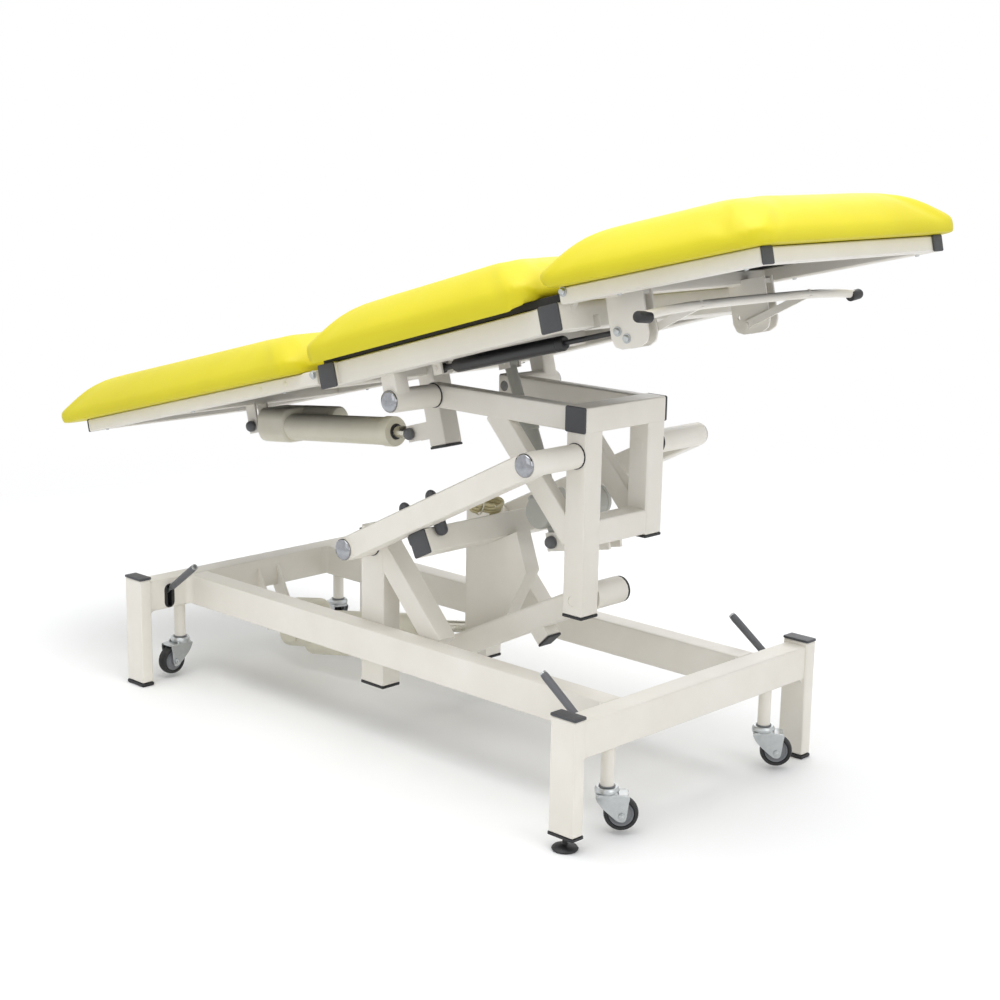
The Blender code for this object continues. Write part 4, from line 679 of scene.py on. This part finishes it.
# Drives: cast housings with a motor and a drawn tube, painted ivory for lift and legs and grey for tilt.
# A steel rod, ground or phosphated, runs out of each tube's screwed-on nose through a black wiper ring.
def housing(wide, high, length, corner, edge):
    """Rings of a cast box: rounded rectangle drawn in by edge * (1 - sin) towards both ends."""
    phi = np.linspace(0.0, pi / 2, 6)
    inset = np.concatenate([edge * (1 - np.sin(phi)), edge * (1 - np.cos(phi))])
    along = np.concatenate([edge * (1 - np.cos(phi)), length - edge + edge * np.sin(phi)])
    return layered((rounded_rectangle(wide - 2 * d, high - 2 * d, corner - d / 2, 48), z)
                   for d, z in zip(inset, along))


def motor_can(radius, length):
    """Profile of a motor: rounded start, plain can, a rolled groove and a shallow domed lid."""
    return [(0.0004, 0.0), (radius - 0.004, 0.0), (radius, 0.004), (radius, length - 0.0180),
            (radius - 0.0012, length - 0.0174), (radius - 0.0012, length - 0.0156), (radius, length - 0.0150),
            (radius, length - 0.0070), (radius - 0.0030, length - 0.0022), (radius * 0.6, length - 0.0002),
            (0.0004, length)]


def drive_tube(radius, bore, start, hollow, end):
    """Profile of a tube with a nose ring, hollow from its end back to where the rod starts."""
    return [(0.0004, start), (radius, start), (radius, end - 0.0300), (radius + 0.0020, end - 0.0290),
            (radius + 0.0024, end - 0.0270), (radius + 0.0024, end - 0.0040), (radius + 0.0010, end - 0.0008),
            (radius - 0.0030, end), (bore, end), (bore, hollow), (0.0004, hollow)]


IVORY_PAINT = grained("painted aluminium ivory", "#D3CEBB", "#DEDAC9", 0.34, 0.46, 0.003)
GREY_PAINT = grained("painted aluminium grey", "#A6A69F", "#B2B2AB", 0.38, 0.50, 0.003)
GROUND_STEEL = plated("ground steel rod", "#C9C6BB", "#DAD7CC", 0.22, 0.34)
finished(GROUND_STEEL, "lift_actuator_rod", "leg_actuator_rod")
finished(grained("phosphated steel grey", "#95948C", "#A3A299", 0.42, 0.55, 0.002), "tilt_actuator_rod")
GEAR_ALONG = 0.088
GEAR_UNDER = 0.012
GEAR_OUT = 0.0440
gear_cover = [(0.0004, 0.0), (0.0330, 0.0), (0.0330, 0.0040), (0.0310, 0.0062), (0.0150, 0.0070),
              (0.0140, 0.0110), (0.0115, 0.0125), (0.0004, 0.0128)]
# name, paint, slot, eye (radius, half), neck (length, half height), housing (start, end, y, y, z, z, corner,
# edge), tube (radius, start, hollow from, end), rod radius
DRIVES = (("lift", IVORY_PAINT, "ivory", (0.017, 0.024), (0.060, 0.015),
           (0.036, 0.150, -0.045, 0.045, -0.060, 0.050, 0.030, 0.018), (0.025, 0.140, 0.1505, 0.500), 0.013),
          ("leg", IVORY_PAINT, "ivory", (0.015, 0.013), (0.060, 0.013),
           (0.032, 0.130, -0.034, 0.078, -0.036, 0.044, 0.026, 0.007), (0.031, 0.115, 0.150, 0.478), 0.013),
          ("tilt", GREY_PAINT, "grey", (0.016, 0.0135), (0.060, 0.014),
           (0.045, 0.104, -0.028, 0.028, -0.033, 0.033, 0.012, 0.007), (0.021, 0.098, 0.1045, 0.260), 0.012))
# drive, motor's radius, length and facets, its start along the drive, aside and over, the way it points
MOTORS = (("lift", 0.0320, 0.140, 56, (0.115, 0.0, -0.0485), "along"),
          ("leg", 0.0270, 0.130, 48, (0.110, 0.048, 0.018), "along"),
          ("tilt", 0.0345, 0.155, 48, (0.064, 0.0, 0.0), "far"),
          ("tilt", 0.0345, 0.042, 48, (0.064, 0.0, 0.0), "near"))
for name, paint, slot, (eye_r, eye_half), (neck, neck_z), box, (tube_r, start, hollow, end), rod_r in DRIVES:
    at = joint_at[name + "_drive_turn"]
    way = joint_axis[name + "_drive_stroke"]
    over = np.cross(way, Y)
    eye = [(eye_r - 0.0012, -eye_half), (eye_r, 0.0012 - eye_half), (eye_r, eye_half - 0.0012),
           (eye_r - 0.0012, eye_half)]
    low_x, high_x, low_y, high_y, low_z, high_z, corner, edge = box
    box_at = at + low_x * way + (low_y + high_y) / 2 * Y + (low_z + high_z) / 2 * over
    forms = [put_at(turned(eye), at, Y, way),
             put_at(housing(2 * eye_half - 0.004, 2 * neck_z, neck, 0.004, 0.001), at, way, Y),
             put_at(housing(high_y - low_y, high_z - low_z, high_x - low_x, corner, edge), box_at, way, Y),
             put_at(turned(drive_tube(tube_r, rod_r + 0.0010, start, hollow, end), 56), at, way, Y)]
    facing = {"along": (way, Y), "far": (Y, way), "near": (-Y, way)}
    for motor, radius, length, facets, (along, aside, above), aim in MOTORS:
        if motor == name:
            motor_at = at + along * way + aside * Y + above * over
            forms.append(put_at(turned(motor_can(radius, length), facets), motor_at, *facing[aim]))
    if name == "lift":
        gear_at = at + GEAR_ALONG * way - GEAR_UNDER * over
        forms += [put_at(turned(gear_cover, 48), gear_at + side * GEAR_OUT * Y, side * Y, way)
                  for side in (-1, 1)]
    drive = piece(name + "_drive_housing", forms, paint, name + "_drive", crease=32)
    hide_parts(name + "_actuator_body")
    wiper = [(rod_r + 0.0004, end - 0.0010), (rod_r + 0.0048, end - 0.0010), (rod_r + 0.0044, end + 0.0014),
             (rod_r + 0.0020, end + 0.0034), (rod_r + 0.0004, end + 0.0036)]
    piece(name + "_drive_wiper", [put_at(turned(wiper, 40), at, way, Y)], BLACK_PLASTIC,
          name + "_drive", looped=True)
knob = [(0.0004, 0.0), (0.0124, 0.0), (0.0132, 0.0012), (0.0128, 0.0075), (0.0104, 0.0118), (0.0060, 0.0140),
        (0.0004, 0.0146)]
# drive, body that its pin sits in, outer face of the cheeks
for drive, body, cheek_out in (("leg_drive", "leg", 0.0222), ("tilt_drive", "tower", 0.0207)):
    knobs = all_on(pair(turned(knob, 28), 0.0, cheek_out, 0.0), drive + "_turn")
    piece(drive + "_pin_knobs", knobs, GRIP_PVC, body)

# Couch sections: plugs in the ends of the seat's tubes and of the leg and back side rails, grey knobs on the
# leg drive's pin, zinc bolt heads on the hinges, pan-head screws up through the rails into the boards.
SEAT_RISE = 15.6
LEG_RISE = 14.0
BACK_RISE = 13.0
SEAT_END = 0.274
SEAT_TUBE_X = (-0.131, 0.495)
SEAT_TUBE_Z = 0.076
LEG_POST = (-0.114, 0.0, -0.100)
LEG_EYE = (-0.194, 0.0232, -0.063)
post_plug = [put_at(END_PLUG, LEG_POST, -Z, X)]
piece("leg_post_plug", all_on(post_plug, "tilt", SEAT_RISE), BLACK_PLASTIC, "seat")
eye_knobs = pair(turned(knob, 28), *LEG_EYE)
piece("leg_eye_knobs", all_on(eye_knobs, "tilt", SEAT_RISE), GRIP_PVC, "seat")
seat_plugs = [plug for x in SEAT_TUBE_X
              for plug in pair(lid(TUBE, TUBE, CAP_THICK), x, SEAT_END, SEAT_TUBE_Z)]
piece("seat_tube_plugs", all_on(seat_plugs, "tilt", SEAT_RISE), GREY_PLASTIC, "seat")
RAIL_Y = 0.259
RAIL_Z = -0.007
RAIL_LOW = -0.022
RAIL_HOLES_X = (-0.095, -0.180)
rail_plug = lid(0.030, 0.030, CAP_THICK, 0.003)
bolt_profile = [(0.0004, 0.0), (0.0090, 0.0), (0.0090, 0.0012), (0.0068, 0.0014), (0.0066, 0.0046),
                (0.0050, 0.0064), (0.0004, 0.0068)]
screw_profile = [(0.0003, 0.0), (0.0042, 0.0), (0.0042, 0.0012), (0.0032, 0.0024), (0.0003, 0.0028)]
plug_profile = [(0.0003, 0.0), (0.0060, 0.0), (0.0060, 0.0004), (0.0050, 0.0010), (0.0003, 0.0012)]
bolt = turned(bolt_profile, 24)
# body, joint, rise, end of its rails, the way they end, places of the board's screws
SECTIONS = (("leg", "leg_raise", LEG_RISE, -0.856, -1, (-0.80, -0.45, -0.12)),
            ("back", "back_raise", BACK_RISE, 0.428, 1, (0.115, 0.385)))
hinge_bolts = []
for body, joint, rise, end, way, places in SECTIONS:
    rail_plugs = [put_at(rail_plug, (end, side * RAIL_Y, RAIL_Z), way * X, Y) for side in (-1, 1)]
    piece(body + "_rail_plugs", all_on(rail_plugs, joint, rise), GREY_PLASTIC, body)
    screws = [put_at(turned(screw_profile, 20), (x, side * RAIL_Y, RAIL_LOW), -Z, X)
              for x in places for side in (-1, 1)]
    piece(body + "_board_screws", all_on(screws, joint, rise), ZINC, body, crease=30)
    hinge_bolts += all_on(pair(bolt, 0.0, SEAT_END + 2 * TOUCH, 0.0), joint, rise)
piece("hinge_bolts", hinge_bolts, ZINC, "seat", crease=30)
hole_plugs = [plug for x in RAIL_HOLES_X
              for plug in pair(turned(plug_profile, 24), x, SEAT_END + TOUCH / 2, RAIL_Z)]
piece("leg_rail_hole_plugs", all_on(hole_plugs, "leg_raise", LEG_RISE), IVORY_NYLON, "leg")

# Back brackets: bolt heads on the gas spring's eye and on the release bar's pivots, and black moulded tips
# pushed on the release bar. The gas spring is enamelled black; the seat's board is plywood lined in black.
BRACKET_Y = 0.180
SPRING_EYE = (0.043, -0.082)
BAR_PIVOT = (0.062, -0.097)
BRACKET_OUT = 0.0142
BAR_AT = (0.2065, -0.070)
BAR_END = 0.325
BAR_LEAN = 0.10
heads = [put_at(bolt, (SPRING_EYE[0], -BRACKET_Y + side * (BRACKET_OUT + TOUCH), SPRING_EYE[1]),
                side * Y, X) for side in (-1, 1)]
heads += pair(bolt, BAR_PIVOT[0], BRACKET_Y + BRACKET_OUT, BAR_PIVOT[1])
piece("bracket_bolts", all_on(heads, "back_raise", BACK_RISE), ZINC, "back", crease=30)
tip_profile = [(0.0084, -0.026), (0.0096, -0.0255), (0.0100, -0.023), (0.0100, 0.004), (0.0090, 0.0070),
               (0.0060, 0.0086), (0.0004, 0.0090)]
tips = pair(turned(tip_profile, 32), BAR_AT[0], BAR_END, BAR_AT[1], BAR_LEAN)
piece("release_bar_tips", all_on(tips, "back_raise", BACK_RISE), BLACK_PLASTIC, "release")
ENAMEL = grained("stoved enamel black", "#1A1A1C", "#232325", 0.30, 0.42, 0.003)
finished(ENAMEL, "gas_spring_body", "gas_spring_rod")
spring_at = joint_at["gas_spring_turn"]
spring_way = joint_axis["gas_spring_stroke"]
barrel = [(0.0108, 0.044), (0.0135, 0.0446), (0.0145, 0.0475), (0.0145, 0.3180), (0.0138, 0.3188),
          (0.0138, 0.3206), (0.0145, 0.3214), (0.0145, 0.3290), (0.0130, 0.3330), (0.0108, 0.3344)]
piece("gas_spring_barrel", [put_at(turned(barrel, 44), spring_at, spring_way, Y)], ENAMEL,
      "gas_spring", looped=True)
finished(grained("lined plywood black", "#18181A", "#212123", 0.55, 0.75, 0.002), "seat_board")


# Pads: foam on a board, covered in lemon vinyl drawn over the edges and stapled underneath, where a black
# lining closes it. The vinyl is calendered with a fine grain and has a soft satin sheen.
def vinyl(name):
    """Vinyl: a 2 mm grain of cells, tone drifting over 200 mm; the lining shows where its attribute says."""
    made, tree, shader, where = material(name)
    drift = put(tree, "TexNoise", {"Vector": where, "Scale": 5.0, "Detail": 3.0})
    tone = put(tree, "ValToRGB", {"Fac": drift.outputs["Fac"]})
    tone.color_ramp.elements[0].position = 0.3
    tone.color_ramp.elements[0].color = linear("#D0C31A")
    tone.color_ramp.elements[1].position = 0.7
    tone.color_ramp.elements[1].color = linear("#D8CC20")
    shader.inputs["Specular IOR Level"].default_value = 0.35
    under = put(tree, "Attribute", attribute_name="lining")
    edge = put(tree, "Math", {0: under.outputs["Fac"], 1: 0.0}, operation="GREATER_THAN")
    cloth = put(tree, "MixRGB", {"Fac": edge.outputs[0], "Color1": tone.outputs["Color"],
                                 "Color2": linear("#1D1D1E")})
    feed(tree, shader, "Base Color", cloth.outputs["Color"])
    gloss = put(tree, "TexNoise", {"Vector": where, "Scale": 40.0, "Detail": 3.0})
    rough = put(tree, "MapRange", {"Value": gloss.outputs["Fac"], "To Min": 0.44, "To Max": 0.58})
    matt = put(tree, "Math", {0: rough.outputs["Result"], 1: edge.outputs[0]}, operation="MAXIMUM")
    feed(tree, shader, "Roughness", matt.outputs[0])
    grain = put(tree, "TexVoronoi", {"Vector": where, "Scale": 420.0}, feature="DISTANCE_TO_EDGE")
    relief = put(tree, "Bump", {"Height": grain.outputs["Distance"], "Strength": 0.12, "Distance": 0.0005})
    feed(tree, shader, "Normal", relief.outputs["Normal"])
    return made


VINYL = vinyl("calendered vinyl lemon")
PAD_HALF = 0.312
PAD_THICK = 0.088
PAD_WALL = 0.014
PAD_CORNER = 0.048
PAD_SIDE_FALL = 0.105
PAD_RINGS = 40
PAD_VOXEL = 0.007
PAD_SWELL = 0.009
LINING_INSET = 0.056
CORNER_FALL = 0.30
CORNER_REACH = 0.085
BOARD_HALF = 0.280
HINGE_SLOPE = 0.70
HINGE_LEVEL = 0.0083    # top of the leg's and back's boards, over the hinge
SEAT_LEVEL = 0.1163     # top of the seat's board, over the tilt pivot
UNDER_SHRINK = 0.994
LIP_SHARE = 0.35        # least thickness of a cut underside's lip, as a share of the pad's there
UNDER_BAND = 0.004      # what lies this near the underside is held to the board
CLOTH_STEPS = 20


def fall(depth, reach):
    """How full the foam is at a depth inside its edge: sqrt(1 - (1 - depth / reach)^2.5), then 1."""
    return np.sqrt(1 - (1 - np.clip(depth / reach, 0.0, 1.0)) ** 2.5)


def underside(x, y, cut, droop):
    """Underside of a pad: level, less droop at its rim past the board; if cut, it rises beyond the hinge by
    the hinge's slope, so that it clears the next section when the hinge is fully raised."""
    rim = np.clip((np.abs(y) - BOARD_HALF) / (PAD_HALF - BOARD_HALF), 0.0, 1.0)
    return np.maximum(-HINGE_SLOPE * x - HINGE_LEVEL, 0.0) * cut - droop * rim


def pad_rings(low_x, high_x, low_fall, high_fall, cut, droop):
    """Rings of a pad from its underside's middle, round its edge, to the middle of its crown.

    Each ring is the plan outline shrunk to its middle; the top's height is a wall plus the foam's fall
    from both ends and both sides, multiplied, and less still near its four corners, by a Gaussian.
    """
    plan = rounded_rectangle(high_x - low_x, 2 * PAD_HALF, PAD_CORNER, 128)
    middle = (low_x + high_x) / 2
    shrink = 1 - np.linspace(0.0, 0.99, PAD_RINGS) ** 2
    rings = []
    for k in shrink[::-1] * UNDER_SHRINK:
        x, y = (plan * k + (middle, 0.0)).T
        rings.append(np.column_stack([x, y, underside(x, y, cut, droop)]))
    for k in shrink:
        x, y = (plan * k + (middle, 0.0)).T
        aside = PAD_HALF - np.abs(y)
        inward = np.hypot(np.minimum(x - low_x, high_x - x), aside)
        full = fall(x - low_x, low_fall) * fall(high_x - x, high_fall) * fall(aside, PAD_SIDE_FALL)
        full = full * (1 - CORNER_FALL * np.exp(-(inward / CORNER_REACH) ** 2))
        top = PAD_WALL + (PAD_THICK - PAD_WALL) * full
        clear = underside(x, y, cut, 0.0)
        rings.append(np.column_stack([x, y, np.maximum(top, clear + LIP_SHARE * top * (clear > 0))]))
    return np.array(rings)


def evaluated(obj):
    """Mesh of an object as its modifiers leave it, as a new mesh of its own."""
    graph = bpy.context.evaluated_depsgraph_get()
    return bpy.data.meshes.new_from_object(obj.evaluated_get(graph))


def points_of(mesh):
    """Places of a mesh's vertices, one row each."""
    flat = np.empty(len(mesh.vertices) * 3, np.float32)
    mesh.vertices.foreach_get("co", flat)
    return flat.reshape(-1, 3).astype(float)


def upholstered(body, joint, rise, level, low_x, high_x, low_fall, high_fall, cut, droop):
    """A pad: its rings remeshed to an even skin, blown up as cloth with its underside held, then placed."""
    name = body + "_pad"
    rings = pad_rings(low_x, high_x, low_fall, high_fall, cut, droop)
    pad = piece(name + "_vinyl", [rings], VINYL, body)
    pad.parent = None
    even = pad.modifiers.new("even skin", "REMESH")
    even.mode = "VOXEL"
    even.voxel_size = PAD_VOXEL
    even.use_smooth_shade = True
    skin = evaluated(pad)
    pad.modifiers.clear()
    pad.data = skin
    start = points_of(skin)
    held = pad.vertex_groups.new(name="held")
    under = underside(start[:, 0], start[:, 1], cut, droop)
    held.add(np.flatnonzero(start[:, 2] < under + UNDER_BAND).tolist(), 1.0, "REPLACE")
    blown = pad.modifiers.new("blown", "CLOTH")
    blown.settings.quality = 4
    blown.settings.mass = 0.3
    blown.settings.tension_stiffness = 12.0
    blown.settings.compression_stiffness = 12.0
    blown.settings.bending_stiffness = 2.0
    blown.settings.use_pressure = True
    blown.settings.uniform_pressure_force = 4.0
    blown.settings.effector_weights.gravity = 0.0
    blown.settings.vertex_group_mass = "held"
    blown.point_cache.frame_start = 1
    blown.point_cache.frame_end = CLOTH_STEPS
    for step in range(1, CLOTH_STEPS + 1):
        scene.frame_set(step)
    moved = points_of(evaluated(pad)) - start
    pad.modifiers.remove(blown)
    scene.frame_set(1)
    far = np.linalg.norm(moved, axis=1)
    start = start + moved * min(1.0, PAD_SWELL / max(far.max(), 1e-6))
    start[:, 2] = np.maximum(start[:, 2], underside(start[:, 0], start[:, 1], cut, droop))
    skin.vertices.foreach_set("co", start.astype(np.float32).ravel())
    even_out = pad.modifiers.new("even out", "SMOOTH")
    even_out.factor = 0.5
    even_out.iterations = 6
    pad.data = evaluated(pad)
    pad.modifiers.clear()
    pad.vertex_groups.clear()
    start = points_of(pad.data)
    x, y, z = start.T
    inside = np.minimum(np.minimum(x - low_x, high_x - x), PAD_HALF - np.abs(y)) - LINING_INSET
    lining = pad.data.attributes.new("lining", "FLOAT", "POINT")
    lining.data.foreach_set("value", np.where(z < UNDER_BAND, inside, -1.0).astype(np.float32))
    placed = on_section(start + level * Z, joint, rise)
    pad.data.vertices.foreach_set("co", placed.astype(np.float32).ravel())
    pad.data.update()
    pad.data.shade_smooth()
    pad.data.materials.clear()
    pad.data.materials.append(VINYL)
    fuller = pad.modifiers.new("fuller skin", "SUBSURF")
    fuller.levels = 1
    fuller.render_levels = 1
    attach(pad, body)
    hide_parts(name)


# body, joint, rise, level of its board, foot and head end, reach of the fall at each, cut, droop
upholstered("leg", "leg_raise", LEG_RISE, HINGE_LEVEL, -0.944, -0.028, 0.17, 0.11, False, 0.0)
upholstered("seat", "tilt", SEAT_RISE, SEAT_LEVEL, -0.172, 0.470, 0.19, 0.11, False, 0.016)
upholstered("back", "back_raise", BACK_RISE, HINGE_LEVEL, -0.046, 0.458, 0.15, 0.13, True, 0.0)
